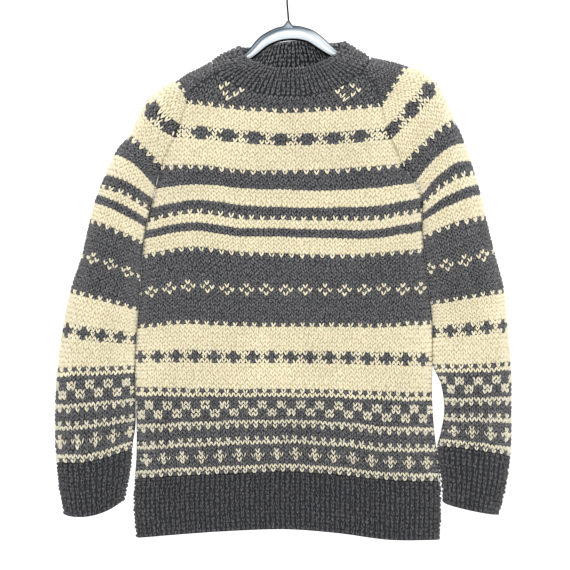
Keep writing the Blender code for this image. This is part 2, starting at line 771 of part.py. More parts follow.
def build_hook():
    """The wire hook, bent so that the inside of its crown is at the origin."""
    curve = bpy.data.curves.new("hanger_hook", "CURVE")
    curve.dimensions = "3D"
    curve.bevel_depth = WIRE_RADIUS * MM
    curve.bevel_resolution = 2
    curve.use_fill_caps = True
    line = hook_line()
    spline = curve.splines.new("POLY")
    spline.points.add(len(line) - 1)
    for point, (x, drop) in zip(spline.points, line):
        point.co = (x * MM, 0, -(HOOK_RISE + drop) * MM, 1)
    hook = bpy.data.objects.new("hanger_hook", curve)
    hook.data.materials.append(finish("hanger_hook", STEEL, 0.25, 1.0))
    bpy.context.scene.collection.objects.link(hook)


def main():
    """Clears the scene and builds every piece of the garment and its hanger."""
    for leftover in list(bpy.data.objects):
        bpy.data.objects.remove(leftover)
    front, back = build_body()
    right = build_sleeve("right", RIGHT_CAP, RIGHT_ARM, RIGHT_SLEEVE_CREASES, -1)
    left = build_sleeve("left", LEFT_CAP, LEFT_ARM, LEFT_SLEEVE_CREASES, 1)
    build_collar(front, back, right, left)
    build_hanger()
    build_hook()


main()
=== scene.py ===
"""A chunky two-colour raglan pullover on an arched hanger, knitted stitch by stitch.

Metres, +Z up, the front facing -Y, the origin inside the hook's crown. The tables
are in millimetres: x from the crown, and drop downwards from a level HOOK_RISE under
it. A knitted row's number counts the rows above the rib, and a column's number counts
the stitches from the middle of a panel. Left and right are the wearer's.
"""

import logging
import math
from dataclasses import dataclass, replace
from enum import Enum
from typing import NamedTuple, Sequence

import bmesh
import bpy
import numpy as np
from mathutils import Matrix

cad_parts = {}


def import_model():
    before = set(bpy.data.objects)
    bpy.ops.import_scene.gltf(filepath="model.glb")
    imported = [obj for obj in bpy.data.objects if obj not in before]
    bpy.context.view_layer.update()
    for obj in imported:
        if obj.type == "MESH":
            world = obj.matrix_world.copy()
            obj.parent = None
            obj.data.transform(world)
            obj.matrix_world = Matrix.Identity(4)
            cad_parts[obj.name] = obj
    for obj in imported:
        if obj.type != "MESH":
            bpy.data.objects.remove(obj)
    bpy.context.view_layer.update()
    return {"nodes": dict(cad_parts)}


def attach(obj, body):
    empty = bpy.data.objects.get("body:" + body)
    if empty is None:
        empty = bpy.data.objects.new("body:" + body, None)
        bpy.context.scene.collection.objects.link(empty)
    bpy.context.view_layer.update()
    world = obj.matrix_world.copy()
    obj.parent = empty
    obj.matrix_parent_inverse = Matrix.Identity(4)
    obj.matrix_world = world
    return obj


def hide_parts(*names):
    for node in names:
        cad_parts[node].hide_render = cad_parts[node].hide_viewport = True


LOG = logging.getLogger("pullover")

MM = 0.001
HOOK_RISE = 16.0
WALL = 4.0
SEAM_GAP = 0.3
RIB_GAP = 0.6
ROW_PITCH = 6.1
RIB_TOP_ROW = 0.5
ARMPIT_ROW = 71.0
OPEN_ROW = 75.0
YOKE_ROW = 90.0
NECK_ROW = 97.0
SIDE_ROUNDNESS = 4.0
ARMPIT_ROUNDNESS = 6.0
NECK_ROUNDNESS = 2.6
CAP_DEPTH = 28.0
CAP_SWELL = 0.85
ARCH_CENTRE_X = -1.0
# The thin wall behind the stitches: its depth under the surface, and at a panel's edges.
SHELL_DEPTH = 2.8
SHELL_WALL = 1.0
EDGE_DEPTH = 0.3
TOUCHING_EDGE_DEPTH = -0.32
TOUCHING_TOP_ROW = 67.0
EDGE_REACH = 7.0
RIB_SHELL_DEPTH = 3.0
# How far the rows wander up and down, in rows, and the beats of that along and up the cloth.
ROW_SWAY = 0.12
SWAY_QUICK_BEAT = 0.83
SWAY_SLOW_BEAT = 0.29
SWAY_ROW_BEAT = 0.17
# How much stitches differ: in rows, in columns, in shares of a width, and in millimetres.
ROW_SCATTER = 0.06
COLUMN_SCATTER = 0.035
WIDTH_SCATTER = 0.08
LIFT_SCATTER = 0.18
# Where a strand's middle lies in its column, and how the strands and columns meet an edge.
STRAND_MIDDLE = 0.25
STRAND_OVERHANG = 0.05
STRAND_MARGIN = 0.03
COLUMN_REACH = 0.45
NECK_OVERHANG = 0.25
# Along the raglan seams the stitches sink, in millimetres, and they start to over some rows.
SEAM_SINK = 0.5
SEAM_SINK_REACH = 3.0
SEAM_SINK_ROWS = 4
# Creases die away towards a panel's sides and a sleeve's folds.
PANEL_FADE_POWER = 8
SLEEVE_FADE_POWER = 3
# How finely surfaces are read: for each row and column, and across or round whole pieces.
READINGS = 4
SEAM_READINGS = 60
STITCH_PLACES = 240
SHELL_PLACES = 64
EVEN_SHARE = 0.35
HEM_READINGS = 181
CUFF_READINGS = 121
NECK_READINGS = 61
NECK_TURNS = 25
# Where a rib's stitch stands in its row and column.
RIB_ROW_MIDDLE = 0.62
RIB_COLUMN_MIDDLE = 0.5
# A sleeve's top has this many knitted rows between the yoke row and the neck row.
CAP_TOP_ROWS = 9.5
# Keeps a division by a length from failing.
TINY = 1e-9


class BodyRow(NamedTuple):
    """A row of the body: its seams' x, its depth at the middle and at the seam, its drops."""

    row: float
    x_min: float
    x_max: float
    depth: float
    seam_depth: float
    drops: tuple[float, ...]


class YokeRow(NamedTuple):
    """A row over the yoke: its raglan seams' x, and its share of the way up to the neck."""

    row: float
    x_min: float
    x_max: float
    depth: float
    seam_depth: float
    share: float


class CapRow(NamedTuple):
    """A row of a sleeve above the armpit: its outer fold, and the middle of its face."""

    row: float
    outer_x: float
    outer_drop: float
    middle_x: float
    middle_drop: float


class ArmRow(NamedTuple):
    """A row of a sleeve below the armpit. gap is the space between it and the body."""

    row: float
    outer_x: float
    outer_drop: float
    middle_x: float
    middle_drop: float
    inner_drop: float
    gap: float


class Crease(NamedTuple):
    """A soft ridge, or a trough where height is below 0. lean is in degrees from upright."""

    x: float
    drop: float
    lean: float
    length: float
    width: float
    height: float


class HangerPoint(NamedTuple):
    """A place on the hanger's middle line, and how tall the hanger is there."""

    x: float
    drop: float
    height: float


# Seven even places across the body, from the wearer's right seam to the left one.
BODY = (
    BodyRow(-14, -230, 227, 22, 0, (840, 833, 828, 826, 832, 842, 843)),
    BodyRow(-7, -234, 229, 25, 0, (795, 789, 785, 783, 788, 797, 799)),
    BodyRow(0.5, -232, 228, 26, 0, (750, 745, 742, 739, 744, 752, 755)),
    BodyRow(2, -231, 227, 26, 0, (741, 736, 733, 730, 735, 743, 745)),
    BodyRow(13, -229, 218, 27, 0, (672, 668, 665, 664, 667, 674, 676)),
    BodyRow(21, -231, 215, 28, 0, (616, 617, 618, 618, 619, 622, 624)),
    BodyRow(29, -231, 216, 29, 0, (567, 566, 567, 567, 568, 570, 571)),
    BodyRow(37, -228, 215, 30, 0, (522, 515, 518, 519, 519, 520, 515)),
    BodyRow(46, -224, 210, 31, 0, (473, 461, 466, 466, 467, 466, 464)),
    BodyRow(55, -220, 203, 32, 0, (417, 405, 412, 415, 417, 414, 408)),
    BodyRow(60.5, -217, 200, 32, 0, (384, 372, 380, 381, 383, 383, 371)),
    BodyRow(65.5, -210, 200, 33, 0, (351, 339, 347, 350, 350, 348, 336)),
    BodyRow(68.5, -203, 196, 33, 2, (327, 319, 326, 330, 331, 327, 315)),
    BodyRow(71, -200, 187, 33, 4.2, (311, 306, 312, 314, 315, 311, 303)),
    BodyRow(73, -197, 179, 34, 5.5, (298, 294, 301, 302, 303, 298, 290)),
    BodyRow(75, -193, 171, 34, 8, (283, 283, 290, 291, 290, 286, 280)),
    BodyRow(79, -181, 161, 35, 14, (255, 258, 265, 266, 265, 261, 256)),
    BodyRow(83, -168, 149, 36, 19, (228, 233, 238, 242, 241, 238, 232)),
    BodyRow(87, -159, 143, 36, 23, (203, 209, 215, 218, 217, 213, 208)),
    BodyRow(90, -153, 139, 36, 26, (185, 191, 196, 199, 197, 194, 190)),
)
YOKE = (
    YokeRow(90, -153, 139, 36, 26, 0),
    YokeRow(93, -148, 132, 36, 28, 0.39),
    YokeRow(95, -129, 125, 37, 30, 0.70),
    YokeRow(97, -110, 110, 38, 32, 1),
)
FRONT_NECK = (144, 164, 174, 177, 174, 166, 140)
BACK_NECK = (144, 143, 142, 141, 140, 140, 140)

RIGHT_CAP = (
    CapRow(71, -262, 261, -232, 274),
    CapRow(73, -254, 249, -223, 267),
    CapRow(75, -242, 237, -215, 258),
    CapRow(79, -228, 209, -213, 231),
    CapRow(83, -215, 184, -199, 209),
    CapRow(87, -188, 159, -171, 180),
    CapRow(90, -168, 151, -158, 170),
    CapRow(93, -149, 139, -145, 153),
    CapRow(95, -134, 132, -130, 144),
    CapRow(97, -117, 123, -113, 134),
)
RIGHT_ARM = (
    ArmRow(-13, -339, 806, -292, 805, 784, 13),
    ArmRow(-6.5, -346, 764, -294, 764, 746, 8),
    ArmRow(0.5, -350, 726, -294, 723, 705, 6.5),
    ArmRow(2, -351, 717, -294, 714, 696, 6),
    ArmRow(5, -352, 695, -293, 691, 678, 3),
    ArmRow(13, -352, 642, -292, 638, 632, 0.9),
    ArmRow(21, -349, 587, -291, 585, 584, 0.8),
    ArmRow(29, -341, 527, -286, 534, 540, 0.8),
    ArmRow(37, -329, 468, -277, 481, 495, 0.8),
    ArmRow(46, -312, 415, -270, 428, 447, 0.8),
    ArmRow(55, -300, 363, -263, 377, 396, 0.8),
    ArmRow(60.5, -291, 330, -257, 342, 366, 0.8),
    ArmRow(65.5, -280, 302, -245, 312, 336, 0.8),
    ArmRow(68.5, -270, 279, -237, 291, 319, 1.0),
    ArmRow(71, -262, 261, -232, 274, 311, SEAM_GAP),
)
LEFT_CAP = (
    CapRow(71, 263, 242, 227, 259),
    CapRow(73, 257, 227, 221, 249),
    CapRow(75, 250, 214, 215, 237),
    CapRow(79, 235, 179, 209, 211),
    CapRow(83, 221, 155, 195, 184),
    CapRow(87, 197, 135, 171, 168),
    CapRow(90, 177, 130, 159, 156),
    CapRow(93, 155, 123, 145, 147),
    CapRow(95, 140, 120, 133, 137),
    CapRow(97, 123, 117, 118, 129),
)
LEFT_ARM = (
    ArmRow(-13, 315, 806, 272, 798, 788, 2),
    ArmRow(-6.5, 326, 767, 277, 753, 744, 0.9),
    ArmRow(0.5, 333, 716, 279, 707, 701, 2),
    ArmRow(2, 334, 706, 280, 698, 692, 6),
    ArmRow(5, 335, 685, 282, 681, 678, 11),
    ArmRow(9, 335, 656, 285, 655, 655, 17),
    ArmRow(13, 335, 630, 285, 631, 632, 18),
    ArmRow(17, 335, 603, 282, 606, 606, 13),
    ArmRow(21, 334, 578, 277, 581, 582, 1.5),
    ArmRow(29, 329, 519, 275, 525, 529, 0.8),
    ArmRow(37, 324, 468, 269, 477, 487, 0.8),
    ArmRow(46, 309, 409, 260, 424, 435, 0.8),
    ArmRow(55, 297, 359, 251, 368, 388, 0.8),
    ArmRow(60.5, 287, 316, 247, 329, 357, 0.8),
    ArmRow(65.5, 276, 280, 240, 291, 329, 0.8),
    ArmRow(68.5, 269, 259, 233, 272, 313, 1.6),
    ArmRow(71, 263, 242, 227, 259, 303, SEAM_GAP),
)
# Half of a sleeve's thickness at a row of either sleeve, read between these rows.
SLEEVE_HALF_DEPTHS = ((-13, 21), (0.5, 23), (21, 25), (46, 27), (68.5, 30), (97, 32))

FRONT_CREASES = (
    Crease(-150, 400, 2, 150, 26, 5),
    Crease(-96, 420, -3, 150, 34, -3.5),
    Crease(-203, 740, 0, 130, 13, 4),
    Crease(-180, 700, 1, 110, 14, -3),
    Crease(122, 420, -4, 140, 34, 3.5),
    Crease(172, 640, 3, 120, 24, 3.5),
    Crease(88, 690, -2, 110, 40, -3),
    Crease(-30, 600, 6, 120, 44, 2.5),
    Crease(156, 316, 38, 40, 14, -2.5),
    Crease(-172, 316, -40, 40, 14, -2.5),
)
BACK_CREASES = (
    Crease(140, 430, -3, 150, 28, 5),
    Crease(84, 450, 2, 150, 36, -3.5),
    Crease(-126, 400, 4, 140, 34, 4),
    Crease(-176, 660, -2, 120, 22, 4),
    Crease(196, 720, 1, 120, 14, 4),
    Crease(-60, 680, -4, 120, 42, -3),
    Crease(20, 560, 5, 120, 44, 2.5),
    Crease(156, 316, 38, 40, 14, -2.5),
    Crease(-172, 316, -40, 40, 14, -2.5),
)
RIGHT_SLEEVE_CREASES = (
    Crease(-255, 330, 28, 46, 10, -4),
    Crease(-268, 392, 34, 40, 12, 3.5),
    Crease(-290, 470, -30, 46, 12, -3.5),
    Crease(-280, 540, 24, 60, 16, 3),
    Crease(-312, 620, -12, 70, 18, -3),
    Crease(-280, 690, 10, 60, 14, 3),
)
LEFT_SLEEVE_CREASES = (
    Crease(248, 316, -28, 46, 10, -4),
    Crease(262, 384, -34, 40, 12, 3.5),
    Crease(284, 462, 30, 46, 12, -3.5),
    Crease(276, 540, -24, 60, 16, 3),
    Crease(308, 610, 14, 70, 18, -3),
    Crease(298, 700, -10, 60, 14, 3),
)

COLLAR_TOP_X = 4.5
COLLAR_TOP_HALF_WIDTH = 79.5
COLLAR_TOP_HALF_DEPTH = 28.0
COLLAR_TOP_DROP = 95.4
COLLAR_TOP_TILT = -0.052
COLLAR_FRONT_DIP = 38.6
COLLAR_DIP_POWER = 1.28
COLLAR_BACK_DIP = 2.5
# The middle of the back edge stands higher than its corners, up behind the hanger.
COLLAR_BACK_RISE = 8.5
COLLAR_BACK_RISE_POWER = 6
COLLAR_BASE_HALF_WIDTH = 118.0
COLLAR_BASE_HALF_DEPTH = 36.0
COLLAR_BULGE = 2.0
# The collar slumps outwards on the wearer's right alone.
COLLAR_RIGHT_BULGE = 5.5

HANGER = (
    HangerPoint(-189, 171.5, 8),
    HangerPoint(-168, 163.9, 11),
    HangerPoint(-149, 152.9, 12),
    HangerPoint(-117, 135.6, 12),
    HangerPoint(-88, 124.5, 12),
    HangerPoint(-60, 114.5, 13),
    HangerPoint(-50, 105.5, 15.5),
    HangerPoint(-40, 95.5, 18),
    HangerPoint(-28, 88, 19.5),
    HangerPoint(-14, 82.5, 21),
    HangerPoint(-1, 80.5, 21.5),
    HangerPoint(20, 82, 20.5),
    HangerPoint(33, 86.5, 19.5),
    HangerPoint(44, 94, 18.4),
    HangerPoint(55.5, 103, 16),
    HangerPoint(66, 110.5, 13.5),
    HangerPoint(92, 119.5, 12),
    HangerPoint(123, 127.9, 12),
    HangerPoint(155, 134.1, 12),
    HangerPoint(177, 141.5, 11),
    HangerPoint(197, 147.8, 8),
)


class Yarn(Enum):
    """The two yarns, and copies with painted shade for the lowest cream and painted light inside the
    neck.
    """

    CREAM = 0
    CHARCOAL = 1
    SHADED_CREAM = 2
    INNER_CHARCOAL = 3


class Side(Enum):
    """Which face of the garment a body panel makes. The value is its direction along Y."""

    FRONT = -1
    BACK = 1


class Arm(Enum):
    """Which arm a sleeve is for. The value is its direction along X."""

    RIGHT = -1
    LEFT = 1


# The rows of the figures, from the rib up: o is cream and # charcoal, repeated across.
CHART = {
    1: "#o", 2: "o", 3: "#", 4: "##o#", 5: "#ooo", 6: "##o#", 7: "#", 8: "o", 9: "o#",
    10: "#", 11: "#", 12: "o#", 13: "o", 14: "#", 15: "#oo#", 16: "#oo#", 17: "o##o",
    18: "o##o", 19: "#", 20: "o", 21: "o#", 28: "oo#o", 29: "o###", 30: "oo#o", 37: "o#",
    45: "o###", 46: "#o#o", 47: "o###", 55: "o#", 64: "o#", 75: "#o", 82: "##ooo",
    83: "###o#", 84: "##ooo", 90: "o#",
}
CREAM_BANDS = ((22, 27), (31, 36), (56, 59), (62, 63), (67, 70), (76, 81), (85, 89))
DIAMOND_ROWS = (82, 84)
# In the small crosses' middle row the arms barely show: the cream lies deep and thin.
# Its strands are drawn narrow, and with painted shade as all the lowest cream is.
CROSS_ROW = 5
CROSS_ARMS = (1, 3)
ARM_WIDTH = 0.62
# Cream up to this row is drawn with painted shade.
LAST_SHADED_ROW = 18


# The large diamonds' rows are plain cream left of the first column and right of the last.
DIAMOND_COLUMNS = (-18, 16)


class Drift(NamedTuple):
    """How many columns the front's stitches lean to the wearer's left at a row."""

    row: float
    columns: float


class Pitch(NamedTuple):
    """How wide a stitch is at a row, in millimetres."""

    row: float
    width: float


@dataclass(frozen=True)
class SleeveShape:
    """What one sleeve's form is worked out from.

    Its cap is the rows above the armpit and lower the rows below it.
    """

    arm: Arm
    cap: tuple[CapRow, ...]
    lower: tuple[ArmRow, ...]
    creases: tuple[Crease, ...]


RIGHT_SLEEVE = SleeveShape(Arm.RIGHT, RIGHT_CAP, RIGHT_ARM, RIGHT_SLEEVE_CREASES)
LEFT_SLEEVE = SleeveShape(Arm.LEFT, LEFT_CAP, LEFT_ARM, LEFT_SLEEVE_CREASES)

# Stitches are narrower towards the hem.
STITCH_PITCHES = (Pitch(0, 7.05), Pitch(8, 7.15), Pitch(40, 7.2), Pitch(66, 7.85), Pitch(100, 8.05))

FRONT_DRIFT = (
    Drift(1, 0),
    Drift(5, -0.2),
    Drift(12, -0.2),
    Drift(17, -0.1),
    Drift(21, 0),
    Drift(29, -0.6),
    Drift(37, -0.3),
    Drift(46, 0.3),
    Drift(55, -0.3),
    Drift(64, -0.4),
    Drift(75, -0.4),
    Drift(83, 0.1),
    Drift(97, 0.1),
)
# The outlined diamond, and the rows and columns of the middles of the two on the front yoke.
YOKE_DIAMOND = ("  o  ", " o o ", "o   o", " o o ", "  o  ")
YOKE_DIAMOND_MIDDLES = ((94, -11), (94, 11))


def smooth(at: Sequence[float], places: Sequence[float], values: Sequence) -> np.ndarray:
    """Values on a soft curve through the given places.

    Args:
        at: where to read the curve.
        places: where the values stand, rising.
        values: one value or one row of values for each place.

    Returns:
        One value or row for each reading.
    """
    at = np.clip(np.atleast_1d(np.asarray(at, float)), places[0], places[-1])
    places = np.asarray(places, float)
    values = np.asarray(values, float)
    slopes = np.gradient(values, places, axis=0)
    i = np.clip(np.searchsorted(places, at, side="right") - 1, 0, len(places) - 2)
    span = places[i + 1] - places[i]
    t = (at - places[i]) / span
    if values.ndim > 1:
        span, t = span[:, None], t[:, None]
    low, high = values[i], values[i + 1]
    low_way, high_way = slopes[i] * span, slopes[i + 1] * span
    return (low * (1 + 2 * t) + low_way * t) * (1 - t) ** 2 + (
        high * (3 - 2 * t) - high_way * (1 - t)
    ) * t**2


def column(table: Sequence, name: str, rows: Sequence[float]) -> np.ndarray:
    """A named column of a table, read at these knitted rows."""
    return smooth(rows, [r.row for r in table], [getattr(r, name) for r in table])


def soft_step(t: np.ndarray) -> np.ndarray:
    """0 to 1 with level ends."""
    t = np.clip(t, 0, 1)
    return t * t * (3 - 2 * t)


def closing(rows: np.ndarray) -> np.ndarray:
    """1 where a tube is sewn up under the arm, 0 where the raglan seam parts its edges."""
    return soft_step((OPEN_ROW - rows) / (OPEN_ROW - ARMPIT_ROW))


def body_column(name: str, rows: Sequence[float]) -> np.ndarray:
    """A column of the body's rows, up to the neck."""
    rows = np.asarray(rows, float)
    return np.where(rows <= YOKE_ROW, column(BODY, name, rows), column(YOKE, name, rows))


def body_drops(rows: Sequence[float], neck: Sequence[float]) -> np.ndarray:
    """The drops of the body's rows.

    Args:
        rows: the rows to read.
        neck: the drops of the neck edge at the seven places.

    Returns:
        Drops in millimetres, rows by the seven places across the body.
    """
    drops = column(BODY, "drops", np.minimum(rows, YOKE_ROW))
    share = column(YOKE, "share", np.maximum(rows, YOKE_ROW))[:, None]
    return drops + (np.asarray(neck, float) - drops) * share


def creased(creases: Sequence[Crease], x: np.ndarray, drop: np.ndarray) -> np.ndarray:
    """How far creases lift the cloth.

    Args:
        creases: the ridges and troughs.
        x: the places' x in millimetres.
        drop: their drops.

    Returns:
        The lift at each place, in millimetres.
    """
    lift = np.zeros(np.broadcast(x, drop).shape)
    for crease in creases:
        lean = math.radians(crease.lean)
        right, down = x - crease.x, drop - crease.drop
        over = right * math.cos(lean) - down * math.sin(lean)
        along = right * math.sin(lean) + down * math.cos(lean)
        reach = (over / crease.width) ** 2 + (along / crease.length) ** 2
        lift += crease.height * np.exp(-reach)
    return lift


def placed(x: np.ndarray, y: np.ndarray, drop: np.ndarray) -> np.ndarray:
    """Points in millimetres, +Z up, from x, y and drop."""
    return np.stack(np.broadcast_arrays(x, y, -(HOOK_RISE + drop)), axis=-1)


def body_surface(
    rows: np.ndarray, across: np.ndarray, neck: Sequence[float], creases: Sequence[Crease], side: Side
) -> np.ndarray:
    """The outer surface of a body panel.

    Args:
        rows: the rows to read, as the panel's mesh counts them.
        across: places from -1 to 1 across the panel.
        neck: the drops of its neck edge.
        creases: the panel's ridges and troughs.
        side: front or back.

    Returns:
        Points in millimetres, rows by places.
    """
    x_min = body_column("x_min", rows)[:, None]
    x_max = body_column("x_max", rows)[:, None]
    depth = body_column("depth", rows)[:, None]
    seam_depth = body_column("seam_depth", rows)[:, None]
    drop = smooth(across, np.linspace(-1, 1, len(neck)), body_drops(rows, neck).T).T
    x = (x_min + x_max) / 2 + (x_max - x_min) / 2 * across
    round_side = np.sqrt(np.clip(1 - np.abs(across) ** SIDE_ROUNDNESS, 0, 1))
    up_yoke = soft_step((rows - ARMPIT_ROW) / (NECK_ROW - ARMPIT_ROW))[:, None]
    roundness = ARMPIT_ROUNDNESS + (NECK_ROUNDNESS - ARMPIT_ROUNDNESS) * up_yoke
    y = seam_depth + (depth - seam_depth) * (1 - np.abs(across) ** roundness)
    y = y + (depth * round_side - y) * closing(rows)[:, None]
    y = y + creased(creases, x, drop) * (1 - np.abs(across) ** PANEL_FADE_POWER)
    return placed(x, side.value * np.maximum(y, SEAM_GAP / 2), drop)


def seam_line(rows: Sequence[float], arm: Arm) -> tuple[np.ndarray, np.ndarray]:
    """The x and drop of the raglan or side seam on one arm's side."""
    name, place = ("x_min", 0) if arm is Arm.RIGHT else ("x_max", -1)
    return body_column(name, rows), body_drops(rows, FRONT_NECK)[:, place]


def sleeve_surface(rows: np.ndarray, turns: np.ndarray, shape: SleeveShape) -> np.ndarray:
    """The outer surface of a sleeve.

    Args:
        rows: the rows to read, as the sleeve's mesh counts them.
        turns: 0 at the front edge, pi at the outer fold and 2 pi at the back edge.
        shape: the sleeve's rows and creases.

    Returns:
        Points in millimetres, rows by turns.
    """
    arm, cap, lower = shape.arm, shape.cap, shape.lower
    on_cap = rows >= ARMPIT_ROW
    turns = turns[None, :]

    def either(name: str) -> np.ndarray:
        """A column from the cap's table or the lower one."""
        return np.where(on_cap, column(cap, name, rows), column(lower, name, rows))

    raglan_x, raglan_drop = seam_line(rows, arm)
    side_rows = np.linspace(BODY[0].row, ARMPIT_ROW, SEAM_READINGS)
    side_x, side_drop = seam_line(side_rows, arm)
    inner_drop = column(lower, "inner_drop", rows)
    inner_x = np.interp(inner_drop, side_drop[::-1], side_x[::-1])
    inner_x = inner_x + arm.value * column(lower, "gap", rows)
    inner_x = np.where(on_cap, raglan_x + arm.value * SEAM_GAP / 2, inner_x)
    inner_drop = np.where(on_cap, raglan_drop, inner_drop)
    outer, middle, inner = (
        np.stack(pair, axis=-1)[:, None, :]
        for pair in (
            (either("outer_x"), either("outer_drop")),
            (either("middle_x"), either("middle_drop")),
            (inner_x, inner_drop),
        )
    )
    closed = closing(rows)[:, None]
    seam_depth = np.maximum(body_column("seam_depth", rows), WALL + SEAM_GAP / 2)[:, None]
    half_depth = smooth(rows, *zip(*SLEEVE_HALF_DEPTHS))[:, None]
    swell = CAP_SWELL * np.maximum(CAP_DEPTH - seam_depth, 0) * np.sin(turns)
    share = np.sin(turns / 2)
    share = share + ((1 - np.cos(turns)) / 2 - share) * closed
    y = -seam_depth * np.cos(turns / 2) - swell
    y = y + (-half_depth * np.sin(turns) - y) * closed
    t = share[..., None]
    spot = inner * (1 - t) * (1 - 2 * t) + middle * 4 * t * (1 - t) + outer * t * (2 * t - 1)
    fade = 1 - np.abs(np.cos(turns)) ** SLEEVE_FADE_POWER
    lift = creased(shape.creases, spot[..., 0], spot[..., 1]) * fade
    edge = (turns < TINY) | (turns > 2 * math.pi - TINY)
    y = np.maximum(np.abs(y) + lift, np.where(edge, SEAM_GAP / 2, 0))
    return placed(spot[..., 0], np.where(turns < math.pi, -1, 1) * y, spot[..., 1])


def linear(code: str, strength: float = 1.0) -> tuple[float, float, float, float]:
    """An sRGB hex colour as linear RGBA.

    Args:
        code: the colour, as # and six hex digits.
        strength: what its brightness is scaled by.

    Returns:
        Red, green, blue and an opaque alpha.
    """
    parts = [int(code[i : i + 2], 16) / 255 for i in (1, 3, 5)]
    lit = [c / 12.92 if c <= 0.04045 else ((c + 0.055) / 1.055) ** 2.4 for c in parts]
    return (*(min(1.0, c * strength) for c in lit), 1.0)


def add_node(
    tree: bpy.types.NodeTree, kind: str, settings: dict | None = None, links: dict | None = None
) -> bpy.types.Node:
    """Adds a node to a tree.

    Args:
        tree: the material's or world's nodes.
        kind: the node's type name.
        settings: attributes, and values for sockets, by name.
        links: for each input socket, the output socket that feeds it.

    Returns:
        The new node.
    """
    node = tree.nodes.new(kind)
    for name, value in (settings or {}).items():
        if hasattr(node, name):
            setattr(node, name, value)
        else:
            node.inputs[name].default_value = value
    for name, source in (links or {}).items():
        tree.links.new(source, node.inputs[name])
    return node


# A mix node's colour sockets, by number because they share their names with its others.
MIX_SHARE = 0
MIX_FIRST = 6
MIX_SECOND = 7
MIX_RESULT = 2


def mix_colours(
    tree: bpy.types.NodeTree,
    first: bpy.types.NodeSocket,
    second: bpy.types.NodeSocket | tuple,
    share: bpy.types.NodeSocket | float,
    blend: str = "MIX",
) -> bpy.types.NodeSocket:
    """Mixes two colours.

    Args:
        tree: the material's nodes.
        first: the socket of the colour that shows where share is 0.
        second: the other colour, or its socket.
        share: how much of the second shows, or its socket.
        blend: how Blender blends the two.

    Returns:
        The socket of the mixed colour.
    """
    node = add_node(tree, "ShaderNodeMix", {"data_type": "RGBA", "blend_type": blend})
    for number, value in ((MIX_SHARE, share), (MIX_FIRST, first), (MIX_SECOND, second)):
        if isinstance(value, bpy.types.NodeSocket):
            tree.links.new(value, node.inputs[number])
        else:
            node.inputs[number].default_value = value
    return node.outputs[MIX_RESULT]


def add_bump(
    tree: bpy.types.NodeTree,
    shader: bpy.types.Node,
    height: bpy.types.NodeSocket,
    strength: float,
    distance: float,
) -> None:
    """Gives a shader a bump.

    Args:
        tree: the material's nodes.
        shader: the shader that takes it.
        height: the socket of the pattern that stands out.
        strength: how much of the bump shows.
        distance: how high the pattern stands, in millimetres.
    """
    bump = add_node(
        tree, "ShaderNodeBump", {"Strength": strength, "Distance": distance * MM}, {"Height": height}
    )
    tree.links.new(bump.outputs["Normal"], shader.inputs["Normal"])


def new_material(name: str) -> tuple[bpy.types.Material, bpy.types.NodeTree, bpy.types.Node]:
    """A new material, empty but for its shader and output.

    Args:
        name: the material's name.

    Returns:
        The material, its nodes, and its Principled shader, linked to the output.
    """
    material = bpy.data.materials.new(name)
    material.use_nodes = True
    tree = material.node_tree
    tree.nodes.clear()
    shader = add_node(tree, "ShaderNodeBsdfPrincipled")
    add_node(tree, "ShaderNodeOutputMaterial", links={"Surface": shader.outputs["BSDF"]})
    return material, tree, shader


@dataclass(frozen=True)
class SpunWool:
    """Thick hand-knitting wool, carded and spun: matt, hairy, with flecks of other fleece."""

    name: str
    base: str
    pale_fleck: str
    dark_fleck: str
    fleck_mm: float
    fleck_share: float
    sheen: float

    def material(self) -> bpy.types.Material:
        """Mixes the fleece colours and gives them a fine fibre bump.

        Returns:
            The yarn's material.
        """
        material, tree, shader = new_material(self.name)
        spots = add_node(tree, "ShaderNodeTexCoord").outputs["Object"]
        mottle = add_node(
            tree,
            "ShaderNodeTexNoise",
            {"Scale": 1 / (self.fleck_mm * MM), "Detail": 3.0, "Roughness": 0.65},
            {"Vector": spots},
        )
        ramp = add_node(tree, "ShaderNodeValToRGB", links={"Fac": mottle.outputs["Fac"]})
        stops = ramp.color_ramp.elements
        stops[0].position = 0.5 - self.fleck_share
        stops[0].color = linear(self.dark_fleck)
        stops[1].position = 0.5 + self.fleck_share
        stops[1].color = linear(self.pale_fleck)
        middle = stops.new(0.5)
        middle.color = linear(self.base)
        # A slow drift of tone over a hand's width, as batches of fleece give.
        drift = add_node(tree, "ShaderNodeTexNoise", {"Scale": 14.0, "Detail": 1.0}, {"Vector": spots})
        toned = mix_colours(
            tree, ramp.outputs["Color"], drift.outputs["Fac"], share=0.16, blend="MULTIPLY"
        )
        tree.links.new(toned, shader.inputs["Base Color"])
        # Fibres are 0.03 mm thick; drawn at 0.8 mm so that they show as a nap.
        fibres = add_node(
            tree,
            "ShaderNodeTexNoise",
            {"Scale": 1 / (0.8 * MM), "Detail": 4.0, "Roughness": 0.7},
            {"Vector": spots},
        )
        add_bump(tree, shader, fibres.outputs["Fac"], strength=0.55, distance=0.5)
        shader.inputs["Roughness"].default_value = 0.92
        shader.inputs["IOR"].default_value = 1.54
        shader.inputs["Specular IOR Level"].default_value = 0.18
        shader.inputs["Sheen Weight"].default_value = self.sheen
        shader.inputs["Sheen Roughness"].default_value = 0.5
        shader.inputs["Sheen Tint"].default_value = linear(self.pale_fleck)
        return material


CREAM_WOOL = SpunWool("cream_wool", "#ede5cb", "#faf3de", "#d2c59e", 2.2, 0.18, 0.15)
CHARCOAL_WOOL = SpunWool("charcoal_heather_wool", "#606062", "#8e8e90", "#37373a", 2.0, 0.15, 0.2)
# The cloth inside the neck comes out dark in this light, so its wool is drawn tones up.
INNER_WOOL = SpunWool("charcoal_heather_inside", "#8c8c8e", "#b3b3b5", "#5c5c5f", 2.0, 0.15, 0.2)
# The hem's and cuffs' ribs look darker than the panels, so their wool is drawn a tone
# down: painted shade.
RIB_WOOL = SpunWool("charcoal_heather_rib", "#4e4e50", "#737375", "#2c2c2f", 2.0, 0.15, 0.15)
